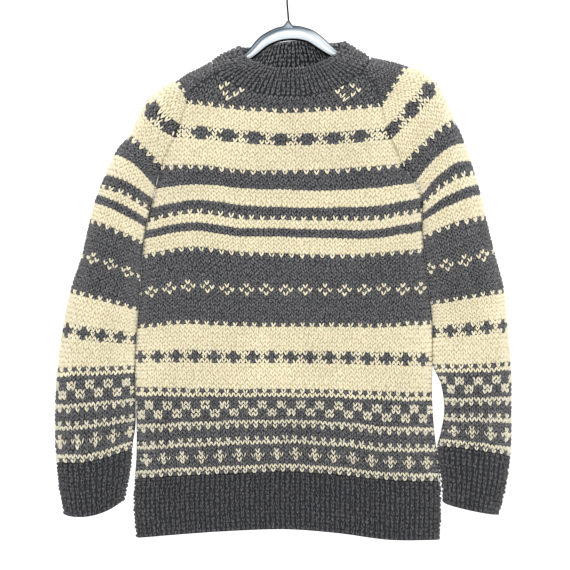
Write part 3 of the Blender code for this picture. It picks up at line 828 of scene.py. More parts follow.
# The lowest cream rows look duller than the broad bands, shaded by the charcoal round
# them, so their wool is drawn duller: painted shade.
SHADED_CREAM_WOOL = SpunWool("cream_wool_painted_shade", "#dfd8c3", "#f3eedc", "#b3ab90", 2.2, 0.18, 0.1)
# Deep between the strands little light comes back, so that wool is drawn a tone down.
CREAM_HOLLOW = SpunWool("cream_wool_hollow", "#c2b897", "#d1c8a8", "#a39977", 2.2, 0.2, 0.0)
CHARCOAL_HOLLOW = SpunWool("charcoal_wool_hollow", "#303134", "#3e3f42", "#202124", 2.0, 0.2, 0.0)


# Slopes that face this way, up and to the wearer's right, take a dim tone: painted reflection.
DIM_WAY = (-0.75, 0.0, 0.66)
DIM_FROM = 0.0
DIM_FULL = 0.22
RIM_SPAN = 0.2


@dataclass(frozen=True)
class GlossPlastic:
    """Moulded ABS with a silvery pearl pigment, glossy from a polished mould.

    The dim band and the dark far edges that such a gloss shows are painted reflection,
    drawn as colours by the way a slope faces: base is the plain tone, dim the painted
    reflection on the upper slopes, and rim the painted reflection at the far edges.
    """

    name: str
    base: str
    dim: str
    rim: str
    rim_from: float
    metallic: float
    roughness: float
    gloss: float

    def material(self) -> bpy.types.Material:
        """Mixes the plain tone with painted reflections: the dim tone of the upper slopes and the rim's
        tone.

        Returns:
            The plastic's material.
        """
        material, tree, shader = new_material(self.name)
        spots = add_node(tree, "ShaderNodeTexCoord").outputs["Object"]
        flow = add_node(tree, "ShaderNodeTexNoise", {"Scale": 45.0, "Detail": 1.0}, {"Vector": spots})
        ramp = add_node(tree, "ShaderNodeValToRGB", links={"Fac": flow.outputs["Fac"]})
        ramp.color_ramp.elements[0].color = linear(self.base, 0.92)
        ramp.color_ramp.elements[1].color = linear(self.base, 1.05)
        facing = add_node(tree, "ShaderNodeNewGeometry").outputs["Normal"]
        towards = add_node(tree, "ShaderNodeVectorMath", {"operation": "DOT_PRODUCT"})
        tree.links.new(facing, towards.inputs[0])
        towards.inputs[1].default_value = DIM_WAY
        dimmed = add_node(
            tree,
            "ShaderNodeMapRange",
            {"From Min": DIM_FROM, "From Max": DIM_FULL},
            {"Value": towards.outputs["Value"]},
        )
        # Painted reflection: the upper slopes take the dim tone.
        dim_tone = linear(self.dim)
        upper = mix_colours(tree, ramp.outputs["Color"], dim_tone, dimmed.outputs["Result"])
        # Painted reflection: the far edges, seen edge-on, take the rim's tone.
        grazing = add_node(
            tree,
            "ShaderNodeMapRange",
            {"From Min": self.rim_from, "From Max": self.rim_from + RIM_SPAN},
            {"Value": add_node(tree, "ShaderNodeLayerWeight").outputs["Facing"]},
        )
        edged = mix_colours(tree, upper, linear(self.rim), grazing.outputs["Result"])
        tree.links.new(edged, shader.inputs["Base Color"])
        add_bump(tree, shader, flow.outputs["Fac"], strength=0.12, distance=0.4)
        shader.inputs["Metallic"].default_value = self.metallic
        shader.inputs["Roughness"].default_value = self.roughness
        shader.inputs["IOR"].default_value = 1.54
        shader.inputs["Specular IOR Level"].default_value = self.gloss
        shader.inputs["Coat Weight"].default_value = self.gloss
        shader.inputs["Coat Roughness"].default_value = 0.05
        return material


SILVER_PLASTIC = GlossPlastic(
    "silver_abs",
    base="#c6cfd5",
    dim="#505c67",
    rim="#7d8891",
    rim_from=0.7,
    metallic=0.1,
    roughness=0.25,
    gloss=0.35,
)
# The boss is the same plastic, drawn darker than the arch and with a black rim: painted reflection.
BOSS_PLASTIC = GlossPlastic(
    "silver_abs_boss",
    base="#8b98a3",
    dim="#74828e",
    rim="#08090a",
    rim_from=0.08,
    metallic=0.1,
    roughness=0.3,
    gloss=0.3,
)
# Painted shade and reflection: the dark lines drawn along the arch's top and underside.
SHADOW_PLASTIC = GlossPlastic(
    "abs_painted_shade_edge",
    base="#050607",
    dim="#050607",
    rim="#050607",
    rim_from=0.75,
    metallic=0.0,
    roughness=0.6,
    gloss=0.05,
)


@dataclass(frozen=True)
class DrawnWire:
    """Steel wire, drawn and nickelled, dulled by handling: a dark metal with mottled tone."""

    name: str
    base: str
    roughness: float

    def material(self) -> bpy.types.Material:
        """Mottles the metal's tone at a millimetre's scale.

        Returns:
            The wire's material.
        """
        material, tree, shader = new_material(self.name)
        spots = add_node(tree, "ShaderNodeTexCoord").outputs["Object"]
        mottle = add_node(tree, "ShaderNodeTexNoise", {"Scale": 1 / MM, "Detail": 2.0}, {"Vector": spots})
        ramp = add_node(tree, "ShaderNodeValToRGB", links={"Fac": mottle.outputs["Fac"]})
        ramp.color_ramp.elements[0].color = linear(self.base, 0.7)
        ramp.color_ramp.elements[1].color = linear(self.base, 1.2)
        tree.links.new(ramp.outputs["Color"], shader.inputs["Base Color"])
        shader.inputs["Metallic"].default_value = 1.0
        shader.inputs["Roughness"].default_value = self.roughness
        return material


HOOK_STEEL = DrawnWire("nickelled_steel_wire", "#1d1e20", 0.4)


@dataclass(frozen=True)
class StudioPaper:
    """Seamless background paper: flat and pale."""

    name: str
    base: str

    def material(self) -> bpy.types.Material:
        """Gives the paper a faint tooth and lets a camera behind it look through.

        Returns:
            The paper's material.
        """
        material, tree, shader = new_material(self.name)
        spots = add_node(tree, "ShaderNodeTexCoord").outputs["Object"]
        tooth = add_node(tree, "ShaderNodeTexNoise", {"Scale": 300.0}, {"Vector": spots})
        add_bump(tree, shader, tooth.outputs["Fac"], strength=0.03, distance=0.1)
        shader.inputs["Base Color"].default_value = linear(self.base)
        shader.inputs["Roughness"].default_value = 0.9
        # A camera behind the paper looks through it, so that the back can be seen too.
        behind = add_node(tree, "ShaderNodeNewGeometry").outputs["Backfacing"]
        looked_at = add_node(tree, "ShaderNodeLightPath").outputs["Is Camera Ray"]
        both = add_node(tree, "ShaderNodeMath", {"operation": "MULTIPLY"})
        tree.links.new(behind, both.inputs[0])
        tree.links.new(looked_at, both.inputs[1])
        clear = add_node(tree, "ShaderNodeBsdfTransparent")
        mixed = add_node(tree, "ShaderNodeMixShader", links={"Fac": both.outputs["Value"]})
        tree.links.new(shader.outputs["BSDF"], mixed.inputs[1])
        tree.links.new(clear.outputs["BSDF"], mixed.inputs[2])
        surface = next(
            link.to_socket for link in shader.outputs["BSDF"].links if link.to_socket.name == "Surface"
        )
        tree.links.new(mixed.outputs["Shader"], surface)
        return material


def build_object(
    name: str,
    points: np.ndarray,
    faces: Sequence[np.ndarray],
    materials: Sequence[bpy.types.Material],
    shades: np.ndarray | None = None,
    outward: bool = False,
) -> bpy.types.Object:
    """A smooth-shaded mesh object from arrays.

    Args:
        name: the piece's name.
        points: the vertices in millimetres.
        faces: arrays of triangles or quads, one row of vertex numbers for each face.
        materials: what it is made of.
        shades: for each face, which of the materials it takes.
        outward: whether Blender turns the faces of a closed form outwards.

    Returns:
        The object, linked to the scene.
    """
    mesh = bpy.data.meshes.new(name)
    corners = np.concatenate([f.ravel() for f in faces]).astype(np.int32)
    sizes = np.concatenate([np.full(len(f), f.shape[1]) for f in faces])
    mesh.vertices.add(len(points))
    mesh.vertices.foreach_set("co", (points * MM).astype(np.float32).ravel())
    mesh.loops.add(len(corners))
    mesh.loops.foreach_set("vertex_index", corners)
    mesh.polygons.add(len(sizes))
    starts = np.concatenate([[0], np.cumsum(sizes)[:-1]]).astype(np.int32)
    mesh.polygons.foreach_set("loop_start", starts)
    if shades is not None:
        mesh.polygons.foreach_set("material_index", shades.astype(np.int32))
    mesh.update(calc_edges=True)
    mesh.validate()
    if outward:
        build = bmesh.new()
        build.from_mesh(mesh)
        bmesh.ops.recalc_face_normals(build, faces=build.faces)
        build.to_mesh(mesh)
        build.free()
    mesh.shade_smooth()
    for material in materials:
        mesh.materials.append(material)
    piece = bpy.data.objects.new(name, mesh)
    bpy.context.scene.collection.objects.link(piece)
    return piece


def tube_quads(rings: int, around: int) -> tuple[np.ndarray, np.ndarray]:
    """The faces of a tube of rings.

    Args:
        rings: how many rings it has.
        around: how many points each ring has.

    Returns:
        The vertex numbers, ring by ring, and the quads between the rings.
    """
    index = np.arange(rings * around).reshape(rings, around)
    ringed = np.concatenate([index, index[:, :1]], axis=1)
    quads = np.stack([ringed[:-1, :-1], ringed[:-1, 1:], ringed[1:, 1:], ringed[1:, :-1]], axis=-1)
    return index, quads.reshape(-1, 4)


def capped_tube(name: str, rings: np.ndarray, material: bpy.types.Material) -> bpy.types.Object:
    """A closed tube with flat ends.

    Args:
        name: the piece's name.
        rings: its points in millimetres, ring by ring.
        material: what it is made of.

    Returns:
        The object.
    """
    index, quads = tube_quads(*rings.shape[:2])
    caps = [index[:1, ::-1], index[-1:]]
    return build_object(name, rings.reshape(-1, 3), [quads, *caps], [material], outward=True)


@dataclass
class Lattice:
    """A knitted surface that can be read at any row and column.

    points, ways and normals are grids of places, of steps one stitch wide and of outward
    directions. over is how many rows a place lies over the neck edge.
    """

    first_row: float
    row_step: float
    first_column: float
    column_step: float
    points: np.ndarray
    ways: np.ndarray
    normals: np.ndarray
    column_min: np.ndarray
    column_max: np.ndarray
    over: np.ndarray
    turned: bool

    def weights(
        self, rows: np.ndarray, columns: np.ndarray
    ) -> tuple[np.ndarray, np.ndarray, np.ndarray, np.ndarray]:
        """The lattice's points round each place, and how near each one is.

        Args:
            rows: knitted rows.
            columns: stitch columns.

        Returns:
            The row and column numbers of the lattice, and the shares between them.
        """
        r = np.clip((rows - self.first_row) / self.row_step, 0, self.points.shape[0] - 1.001)
        c = (columns - self.first_column) / self.column_step
        c = np.clip(c, 0, self.points.shape[1] - 1.001)
        i, j = r.astype(int), c.astype(int)
        return i, j, (r - i)[..., None], (c - j)[..., None]

    def read(self, grid: np.ndarray, rows: np.ndarray, columns: np.ndarray) -> np.ndarray:
        """A grid's values at places between its own.

        Args:
            grid: one of the lattice's grids.
            rows: knitted rows.
            columns: stitch columns.

        Returns:
            One value or point for each place.
        """
        i, j, s, t = self.weights(rows, columns)
        low = grid[i, j] * (1 - t) + grid[i, j + 1] * t
        high = grid[i + 1, j] * (1 - t) + grid[i + 1, j + 1] * t
        return low * (1 - s) + high * s

    def limits(self, rows: np.ndarray) -> tuple[np.ndarray, np.ndarray]:
        """The first and last columns that the cloth has in these rows."""
        at = self.first_row + self.row_step * np.arange(len(self.column_min))
        return np.interp(rows, at, self.column_min), np.interp(rows, at, self.column_max)


def surface_normals(points: np.ndarray, turned: bool) -> np.ndarray:
    """The outward normals of a grid whose rows rise and whose columns run across.

    Args:
        points: the grid.
        turned: whether its columns run the other way round.

    Returns:
        A unit normal for each point.
    """
    across = np.gradient(points, axis=1)
    up = np.gradient(points, axis=0)
    normals = np.cross(across, up)
    length = np.linalg.norm(normals, axis=-1, keepdims=True)
    normals = normals / np.maximum(length, TINY)
    return -normals if turned else normals


def edge_distance(points: np.ndarray) -> np.ndarray:
    """How far each point of a grid lies from the nearer end of its row.

    Args:
        points: the grid.

    Returns:
        Distances along the rows, in millimetres.
    """
    steps = np.linalg.norm(np.diff(points, axis=1), axis=-1)
    run = np.concatenate([np.zeros((len(points), 1)), np.cumsum(steps, axis=1)], axis=1)
    return np.minimum(run, run[:, -1:] - run)


def stitch_pitch(rows: np.ndarray) -> np.ndarray:
    """How wide a stitch is at these rows, in millimetres."""
    return np.interp(rows, *zip(*STITCH_PITCHES))


def knit_lattice(
    points: np.ndarray,
    rows: np.ndarray,
    anchor: float,
    drift: np.ndarray,
    over: np.ndarray,
    turned: bool,
) -> Lattice:
    """Counts a surface off in stitches from an anchor line.

    Args:
        points: the surface in millimetres, even rows by places across.
        rows: the knitted row of each grid row, evenly spaced.
        anchor: the place in the columns' list where column 0 would run upright.
        drift: how many columns each row leans from that line.
        over: how many rows each point lies over the neck edge.
        turned: whether the grid runs the other way round.

    Returns:
        The lattice, read by row and column.
    """
    normals = surface_normals(points, turned)
    steps = np.linalg.norm(np.diff(points, axis=1), axis=-1)
    run = np.concatenate([np.zeros((len(rows), 1)), np.cumsum(steps, axis=1)], axis=1)
    places = np.arange(points.shape[1])
    pitch = stitch_pitch(rows)
    step = 1 / READINGS
    middle = np.array([np.interp(anchor, places, r) for r in run])
    count = (run - middle[:, None]) / pitch[:, None] - drift[:, None]
    first, last = math.floor(count.min()) - 1, math.ceil(count.max()) + 1
    columns = np.arange(first, last + step / 2, step)
    ways = np.gradient(points, axis=1)
    ways = ways / np.maximum(np.linalg.norm(ways, axis=-1, keepdims=True), TINY)
    ways = ways * pitch[:, None, None]
    shape = (len(rows), len(columns), 3)
    grids = [np.empty(shape), np.empty(shape), np.empty(shape)]
    overs = np.empty(shape[:2] + (1,))
    for r in range(len(rows)):
        at = np.interp(columns, count[r], places)
        i = np.minimum(at.astype(int), len(places) - 2)
        t = (at - i)[:, None]
        for grid, values in zip(grids, (points, ways, normals)):
            grid[r] = values[r, i] * (1 - t) + values[r, i + 1] * t
        overs[r, :, 0] = np.interp(columns, count[r], over[r])
    return Lattice(
        rows[0], rows[1] - rows[0], first, step, *grids, count[:, 0], count[:, -1], overs, turned
    )


class Station(NamedTuple):
    """A place along a strand: across the stitch, up its row, half as wide, and lifted.

    across, up and half_width are shares of a stitch and a row, and lift is in millimetres.
    """

    across: float
    up: float
    half_width: float
    lift: float


@dataclass(frozen=True)
class Leg:
    """One of a stitch's two strands, from its foot to its head.

    height is how thick it is in millimetres. uneven is how much it varies from stitch to
    stitch, 1 being a steady hand. figured says whether it takes part in the chart's figures.
    """

    stations: tuple[Station, ...]
    height: float
    uneven: float
    figured: bool


KNIT_LEG = Leg(
    stations=(
        Station(0.05, -0.70, 0.0, -1.6),
        Station(0.11, -0.40, 0.15, -0.35),
        Station(0.24, -0.02, 0.19, 0.3),
        Station(0.35, 0.36, 0.155, 0.0),
        Station(0.42, 0.66, 0.0, -1.6),
    ),
    height=2.3,
    uneven=1.15,
    figured=True,
)
RIB_LEG = Leg(
    stations=(
        Station(0.04, -0.62, 0.0, -1.8),
        Station(0.09, -0.36, 0.12, -0.5),
        Station(0.16, 0.0, 0.18, 0.5),
        Station(0.19, 0.34, 0.09, -0.7),
        Station(0.21, 0.60, 0.0, -1.8),
    ),
    height=2.6,
    uneven=2.2,
    figured=False,
)
# A strand's open section: across in half widths, and up in heights.
LEG_RING = ((-1.0, -0.35), (-0.6, 0.88), (0.6, 0.88), (1.0, -0.35))
LEG_RINGS = 3
# How far under the garment's surface a strand's middle lies, in millimetres.
LEG_DEPTH = 2.1


def leg_faces(count: int, turned: bool) -> list[np.ndarray]:
    """The faces of many legs, each of fourteen points: a foot, three rings of four, a head.

    Args:
        count: how many legs there are.
        turned: whether the faces run the other way round.

    Returns:
        The quads of all the legs, then their triangles.
    """
    sides = len(LEG_RING)
    quads = [
        (1 + k * sides + j, 1 + k * sides + j + 1, 1 + (k + 1) * sides + j + 1, 1 + (k + 1) * sides + j)
        for k in range(LEG_RINGS - 1)
        for j in range(sides - 1)
    ]
    head = 1 + LEG_RINGS * sides
    last = 1 + (LEG_RINGS - 1) * sides
    tips = [(0, 1 + j + 1, 1 + j) for j in range(sides - 1)]
    tips += [(last + j, last + j + 1, head) for j in range(sides - 1)]
    starts = np.arange(count)[:, None, None] * (head + 1)
    made = []
    for faces in (np.array(quads), np.array(tips)):
        faces = faces[:, ::-1] if turned else faces
        made.append((starts + faces[None]).reshape(-1, faces.shape[1]))
    return made


def leg_points(
    lattice: Lattice,
    rows: np.ndarray,
    columns: np.ndarray,
    hands: np.ndarray,
    widths: np.ndarray,
    leg: Leg,
    seed: int,
) -> np.ndarray:
    """The points of many legs, in millimetres.

    Args:
        lattice: the surface that they lie on.
        rows: each leg's knitted row.
        columns: each leg's stitch column.
        hands: -1 for a left leg and 1 for a right one.
        widths: each leg's width, 1 being full.
        leg: the strand's shape.
        seed: what makes this piece's unevenness its own.

    Returns:
        Fourteen points for each leg.
    """
    dice = np.random.default_rng(seed)
    uneven = dice.normal(0, 1, (len(rows), 4)).clip(-2, 2)
    across, up, half, lift = (np.array(c) for c in zip(*leg.stations))
    slow_sway = np.sin(SWAY_SLOW_BEAT * columns + SWAY_ROW_BEAT * rows)
    sway = ROW_SWAY * np.sin(SWAY_QUICK_BEAT * columns + seed) * slow_sway
    at_rows = rows[:, None] + up + sway[:, None] + ROW_SCATTER * leg.uneven * uneven[:, :1]
    at_columns = columns[:, None] + hands[:, None] * across
    at_columns = at_columns + COLUMN_SCATTER * leg.uneven * uneven[:, 1:2]
    low, high = lattice.limits(at_rows)
    at_columns = np.clip(at_columns, low + STRAND_MARGIN, high - STRAND_MARGIN)
    centres = lattice.read(lattice.points, at_rows, at_columns)
    ways = lattice.read(lattice.ways, at_rows, at_columns)
    normals = lattice.read(lattice.normals, at_rows, at_columns)
    half = half * widths[:, None] * (1 + WIDTH_SCATTER * leg.uneven * uneven[:, 2:3])
    lift = lift - LEG_DEPTH + LIFT_SCATTER * leg.uneven * uneven[:, 3:4]
    centres = centres + normals * lift[..., None]
    parts = [centres[:, :1]]
    for k in range(1, len(leg.stations) - 1):
        for x, z in LEG_RING:
            spot = centres[:, k] + ways[:, k] * (x * half[:, k])[:, None]
            parts.append((spot + normals[:, k] * z * leg.height)[:, None])
    parts.append(centres[:, -1:])
    return np.concatenate(parts, axis=1)


def stitches(
    name: str,
    lattice: Lattice,
    rows: np.ndarray,
    columns: np.ndarray,
    leg: Leg,
    material: bpy.types.Material,
    seed: int,
) -> bpy.types.Object:
    """A piece of many stitches of one yarn.

    Args:
        name: the piece's name.
        lattice: the surface that they lie on.
        rows: each stitch's row.
        columns: each stitch's column.
        leg: the shape of its two strands.
        material: the yarn.
        seed: what makes its unevenness its own.

    Returns:
        The object.
    """
    rows, columns = np.repeat(rows, 2), np.repeat(columns, 2)
    hands = np.tile((-1.0, 1.0), len(rows) // 2)
    low, high = lattice.limits(rows)
    middle = columns + hands * STRAND_MIDDLE
    keep = (middle > low - STRAND_OVERHANG) & (middle < high + STRAND_OVERHANG)
    rows, columns, hands = rows[keep], columns[keep], hands[keep]
    widths = np.ones(len(rows))
    if leg.figured:
        in_arms = (rows == CROSS_ROW) & np.isin(columns % len(CHART[CROSS_ROW]), CROSS_ARMS)
        widths[in_arms] = ARM_WIDTH
    points = leg_points(lattice, rows, columns, hands, widths, leg, seed)
    return build_object(
        name, points.reshape(-1, 3), leg_faces(len(rows), lattice.turned), [material]
    )


def plain_cream(rows: np.ndarray) -> np.ndarray:
    """Whether whole rows lie in the broad cream bands, without charcoal behind them.

    Args:
        rows: knitted rows.

    Returns:
        True for each row that does.
    """
    plain = np.zeros(rows.shape, bool)
    for low, high in CREAM_BANDS:
        plain |= (rows >= low) & (rows <= high)
    return plain


def cloth_cream(rows: np.ndarray, columns: np.ndarray, diamond_shift: int) -> np.ndarray:
    """Whether the chart gives cream at these whole rows and columns.

    Args:
        rows: knitted rows.
        columns: stitch columns.
        diamond_shift: how many columns this panel's large diamonds stand to one side.

    Returns:
        True for each cream stitch.
    """
    cream = np.zeros(np.broadcast(rows, columns).shape, bool)
    rows, columns = np.broadcast_arrays(rows, columns)
    in_diamonds = (rows >= DIAMOND_ROWS[0]) & (rows <= DIAMOND_ROWS[1])
    columns = np.where(in_diamonds, columns - diamond_shift, columns)
    for low, high in CREAM_BANDS:
        cream |= (rows >= low) & (rows <= high)
    for row, motif in CHART.items():
        here = rows == row
        if here.any():
            repeat = np.array([c == "o" for c in motif])
            cream[here] = repeat[columns[here] % len(repeat)]
    return cream


def shell_object(
    name: str,
    outer: np.ndarray,
    normals: np.ndarray,
    depths: tuple,
    closed: bool,
    cream: np.ndarray | None,
    yarns: dict[Yarn, bpy.types.Material],
) -> bpy.types.Object:
    """The cloth between and behind the stitches, as a closed thin wall.

    Args:
        name: the piece's name.
        outer: the garment's outer surface, rows by columns.
        normals: its outward normals.
        depths: how far the wall's outer and inner faces lie under that surface.
        closed: whether the columns run round a tube.
        cream: which faces are cream, or None where all are charcoal.
        yarns: the materials.

    Returns:
        The object.
    """
    rows, columns = outer.shape[:2]
    front, back = (outer - normals * depth for depth in depths)
    count = rows * columns
    index = np.arange(count).reshape(rows, columns)
    if closed:
        index = np.concatenate([index, index[:, :1]], axis=1)
    quads = np.stack([index[:-1, :-1], index[:-1, 1:], index[1:, 1:], index[1:, :-1]], axis=-1)
    quads = quads.reshape(-1, 4)
    rims = [(index[0, :-1], index[0, 1:]), (index[-1, 1:], index[-1, :-1])]
    if not closed:
        rims += [(index[1:, 0], index[:-1, 0]), (index[:-1, -1], index[1:, -1])]
    edges = [np.stack([b, a, a + count, b + count], axis=-1) for a, b in rims]
    faces = np.concatenate([quads, quads[:, ::-1] + count, *edges])
    shades = np.full(len(faces), Yarn.CHARCOAL.value)
    if cream is not None:
        pale = np.where(cream.reshape(-1), Yarn.CREAM.value, Yarn.CHARCOAL.value)
        shades[: 2 * len(quads)] = np.tile(pale, 2)
    return build_object(
        name,
        np.concatenate([front.reshape(-1, 3), back.reshape(-1, 3)]),
        [faces],
        [yarns[Yarn.CREAM], yarns[Yarn.CHARCOAL]],
        shades,
        outward=True,
    )


@dataclass
class KnittedPanel:
    """A panel in the two yarns: a thin shell of cloth with its stitches on it.

    flat is the cut's width and length in metres and area its flat area, for what shows.
    Neither is used.
    """

    name: str
    slot: str
    flat: tuple[float, float]
    area: float
    seed: int
    diamond_shift: int
    yarns: dict[Yarn, bpy.types.Material]
    hollows: dict[Yarn, bpy.types.Material]

    def surface(self, rows: np.ndarray, places: np.ndarray) -> np.ndarray:
        """The outer surface, in millimetres, at mesh rows and places across."""
        raise NotImplementedError

    def places(self, count: int) -> np.ndarray:
        """Places from the panel's first edge to its last."""
        raise NotImplementedError

    def knitted_row(self, rows: np.ndarray, points: np.ndarray) -> np.ndarray:
        """The knitted row of each point of the surface at these mesh rows."""
        raise NotImplementedError

    def extra_cream(self, rows: np.ndarray, columns: np.ndarray) -> np.ndarray:
        """Cream stitches that only this panel has."""
        return np.zeros(np.broadcast(rows, columns).shape, bool)

    def drift(self, rows: np.ndarray) -> np.ndarray:
        """How many columns the stitches of each row lean aside."""
        return np.zeros(len(rows))

    def turned(self) -> bool:
        """Whether the columns run against the outward side."""
        raise NotImplementedError

    def lattice(self) -> Lattice:
        """Counts the panel off in rows and columns, with its seams drawn in a little.

        Returns:
            The lattice, whose rows are knitted rows.
        """
        places = self.places(STITCH_PLACES)
        step = 1 / READINGS
        below = np.arange(RIB_TOP_ROW, YOKE_ROW, step)
        mesh_rows = np.concatenate([below, np.arange(YOKE_ROW, NECK_ROW + step / 4, step / 2)])
        fine = self.surface(mesh_rows, places)
        counted = self.knitted_row(mesh_rows, fine)
        rows = np.arange(RIB_TOP_ROW, counted.max() + 0.01, step)
        points = np.empty((len(rows), len(places), 3))
        for j in range(len(places)):
            for axis in range(3):
                points[:, j, axis] = np.interp(rows, counted[:, j], fine[:, j, axis])
        over = rows[:, None] - counted[-1][None, :]
        normals = surface_normals(points, self.turned())
        edge = edge_distance(points)
        raglan = soft_step((rows - ARMPIT_ROW) / SEAM_SINK_ROWS)[:, None]
        sink = SEAM_SINK * raglan * np.exp(-((edge / SEAM_SINK_REACH) ** 2))
        points = points - normals * sink[..., None]
        anchor = (len(places) - 1) / 2
        return knit_lattice(points, rows, anchor, self.drift(rows), over, self.turned())

    def stitch_places(self, lattice: Lattice) -> tuple[np.ndarray, np.ndarray, np.ndarray]:
        """Finds the panel's stitches.

        Args:
            lattice: the panel, counted off.

        Returns:
            The rows and columns of all stitches, and which are cream.
        """
        last = int(lattice.first_row + lattice.row_step * (len(lattice.column_min) - 1))
        rows, columns = [], []
        for row in range(1, last + 1):
            low, high = lattice.limits(np.array(float(row)))
            across = np.arange(math.ceil(low - COLUMN_REACH), math.floor(high + COLUMN_REACH) + 1)
            over = lattice.read(lattice.over, np.full(len(across), float(row)), across.astype(float))
            across = across[over[:, 0] <= NECK_OVERHANG]
            rows.append(np.full(len(across), row))
            columns.append(across)
        rows, columns = np.concatenate(rows), np.concatenate(columns)
        cream = cloth_cream(rows, columns, self.diamond_shift) | self.extra_cream(rows, columns)
        return rows, columns, cream

    def build(self) -> list[bpy.types.Object]:
        """Returns:
            The shell and the stitch pieces.
        """
        lattice = self.lattice()
        rows, columns, cream = self.stitch_places(lattice)
        below = np.arange(RIB_TOP_ROW, YOKE_ROW)
        mesh_rows = np.concatenate([below, np.arange(YOKE_ROW, NECK_ROW + 0.5)])
        places = self.places(SHELL_PLACES)
        outer = self.surface(mesh_rows, places)
        normals = surface_normals(outer, self.turned())
        face_rows = np.rint((mesh_rows[:-1] + mesh_rows[1:]) / 2 + 0.01).astype(int)[:, None]
        face_cream = plain_cream(np.repeat(face_rows, len(places) - 1, axis=1))
        near_edge = np.exp(-((edge_distance(outer) / EDGE_REACH) ** 2))[..., None]
        upper = soft_step((mesh_rows - TOUCHING_TOP_ROW) / (ARMPIT_ROW - TOUCHING_TOP_ROW))
        edge_depth = TOUCHING_EDGE_DEPTH + (EDGE_DEPTH - TOUCHING_EDGE_DEPTH) * upper[:, None, None]
        depth = SHELL_DEPTH - (SHELL_DEPTH - edge_depth) * near_edge
        depths = (depth, depth + SHELL_WALL)
        shell = shell_object(self.name, outer, normals, depths, False, face_cream, self.hollows)
        pieces = [shell]
        # The lowest cream stitches take the wool drawn with painted shade.
        painted_shade = cream & (rows <= LAST_SHADED_ROW)
        groups = ((Yarn.CREAM, cream & ~painted_shade), (Yarn.CHARCOAL, ~cream), (Yarn.SHADED_CREAM, painted_shade))
        for yarn, chosen in groups:
            piece = stitches(
                f"{self.name}_{yarn.name.lower()}_stitches",
                lattice,
                rows[chosen].astype(float),
                columns[chosen].astype(float),
                KNIT_LEG,
                self.yarns[yarn],
                self.seed + yarn.value,
            )
            pieces.append(piece)
        finish_cloth(pieces, self.name)
        return pieces


def finish_cloth(
    pieces: list[bpy.types.Object], node: str
) -> None:
    """Args:
        pieces: the shell, then what lies on it.
        node: the solid that they replace.
    """
    shell, *on_it = pieces
    for piece in pieces:
        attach(piece, "root")
    shell.name = f"{node}_cloth"
    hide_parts(node)
    LOG.info("%s: %d pieces", node, len(pieces))


@dataclass
class BodyPanel(KnittedPanel):
    """The front or the back of the body."""

    side: Side
    neck: tuple[float, ...]
    creases: tuple[Crease, ...]

    def surface(self, rows: np.ndarray, places: np.ndarray) -> np.ndarray:
        """The outer surface, in millimetres, at mesh rows and places across."""
        return body_surface(rows, places, self.neck, self.creases, self.side)

    def places(self, count: int) -> np.ndarray:
        """Places from side to side, closer together near the sides."""
        even = np.linspace(0, 1, count + 1)
        return EVEN_SHARE * (2 * even - 1) - (1 - EVEN_SHARE) * np.cos(math.pi * even)

    def knitted_row(self, rows: np.ndarray, points: np.ndarray) -> np.ndarray:
        """The knitted row of each point, counted by its height over the yoke.

        Args:
            rows: mesh rows.
            points: the surface at these rows.

        Returns:
            Knitted rows, one for each point.
        """
        yoke = np.searchsorted(rows, YOKE_ROW)
        climbed = (points[:, :, 2] - points[yoke, :, 2]) / ROW_PITCH
        return np.where(rows[:, None] <= YOKE_ROW, rows[:, None], YOKE_ROW + climbed)

    def drift(self, rows: np.ndarray) -> np.ndarray:
        """How many columns the stitches of each row lean aside, on the front alone.

        Args:
            rows: knitted rows.

        Returns:
            Columns, one number for each row.
        """
        if self.side is Side.BACK:
            return super().drift(rows)
        return smooth(rows, *zip(*FRONT_DRIFT))

    def extra_cream(self, rows: np.ndarray, columns: np.ndarray) -> np.ndarray:
        """The outlined diamonds of the front yoke, and the plain ends of its large ones' rows.

        Args:
            rows: knitted rows.
            columns: stitch columns.

        Returns:
            True for each stitch that is cream for one of these reasons.
        """
        cream = np.zeros(len(rows), bool)
        if self.side is Side.FRONT:
            ends = (columns < DIAMOND_COLUMNS[0]) | (columns > DIAMOND_COLUMNS[1])
            cream |= ends & (rows >= DIAMOND_ROWS[0]) & (rows <= DIAMOND_ROWS[1])
            for middle_row, middle_column in YOKE_DIAMOND_MIDDLES:
                for i, line in enumerate(YOKE_DIAMOND):
                    for j, mark in enumerate(line):
                        hit = (rows == middle_row - 2 + i) & (columns == middle_column - 2 + j)
                        cream |= hit & (mark == "o")
        return cream

    def turned(self) -> bool:
        """Whether the columns run against the outward side."""
        return self.side is Side.BACK


@dataclass
class Sleeve(KnittedPanel):
    """A sleeve, curled round from its front edge to its back edge."""

    shape: SleeveShape

    def surface(self, rows: np.ndarray, places: np.ndarray) -> np.ndarray:
        """The outer surface, in millimetres, at mesh rows and turns."""
        return sleeve_surface(rows, places, self.shape)

    def places(self, count: int) -> np.ndarray:
        """Turns from the front edge round to the back one."""
        return np.linspace(0, 2 * math.pi, count + 1)

    def knitted_row(self, rows: np.ndarray, points: np.ndarray) -> np.ndarray:
        """The knitted row of each point: the cap's top has more rows than the mesh there.

        Args:
            rows: mesh rows.
            points: the surface at these rows.

        Returns:
            Knitted rows, one for each point.
        """
        climbed = (rows - YOKE_ROW) * CAP_TOP_ROWS / (NECK_ROW - YOKE_ROW)
        counted = np.where(rows <= YOKE_ROW, rows, YOKE_ROW + climbed)
        return np.broadcast_to(counted[:, None], points.shape[:2])

    def turned(self) -> bool:
        """Whether the columns run against the outward side."""
        return self.shape.arm is Arm.RIGHT


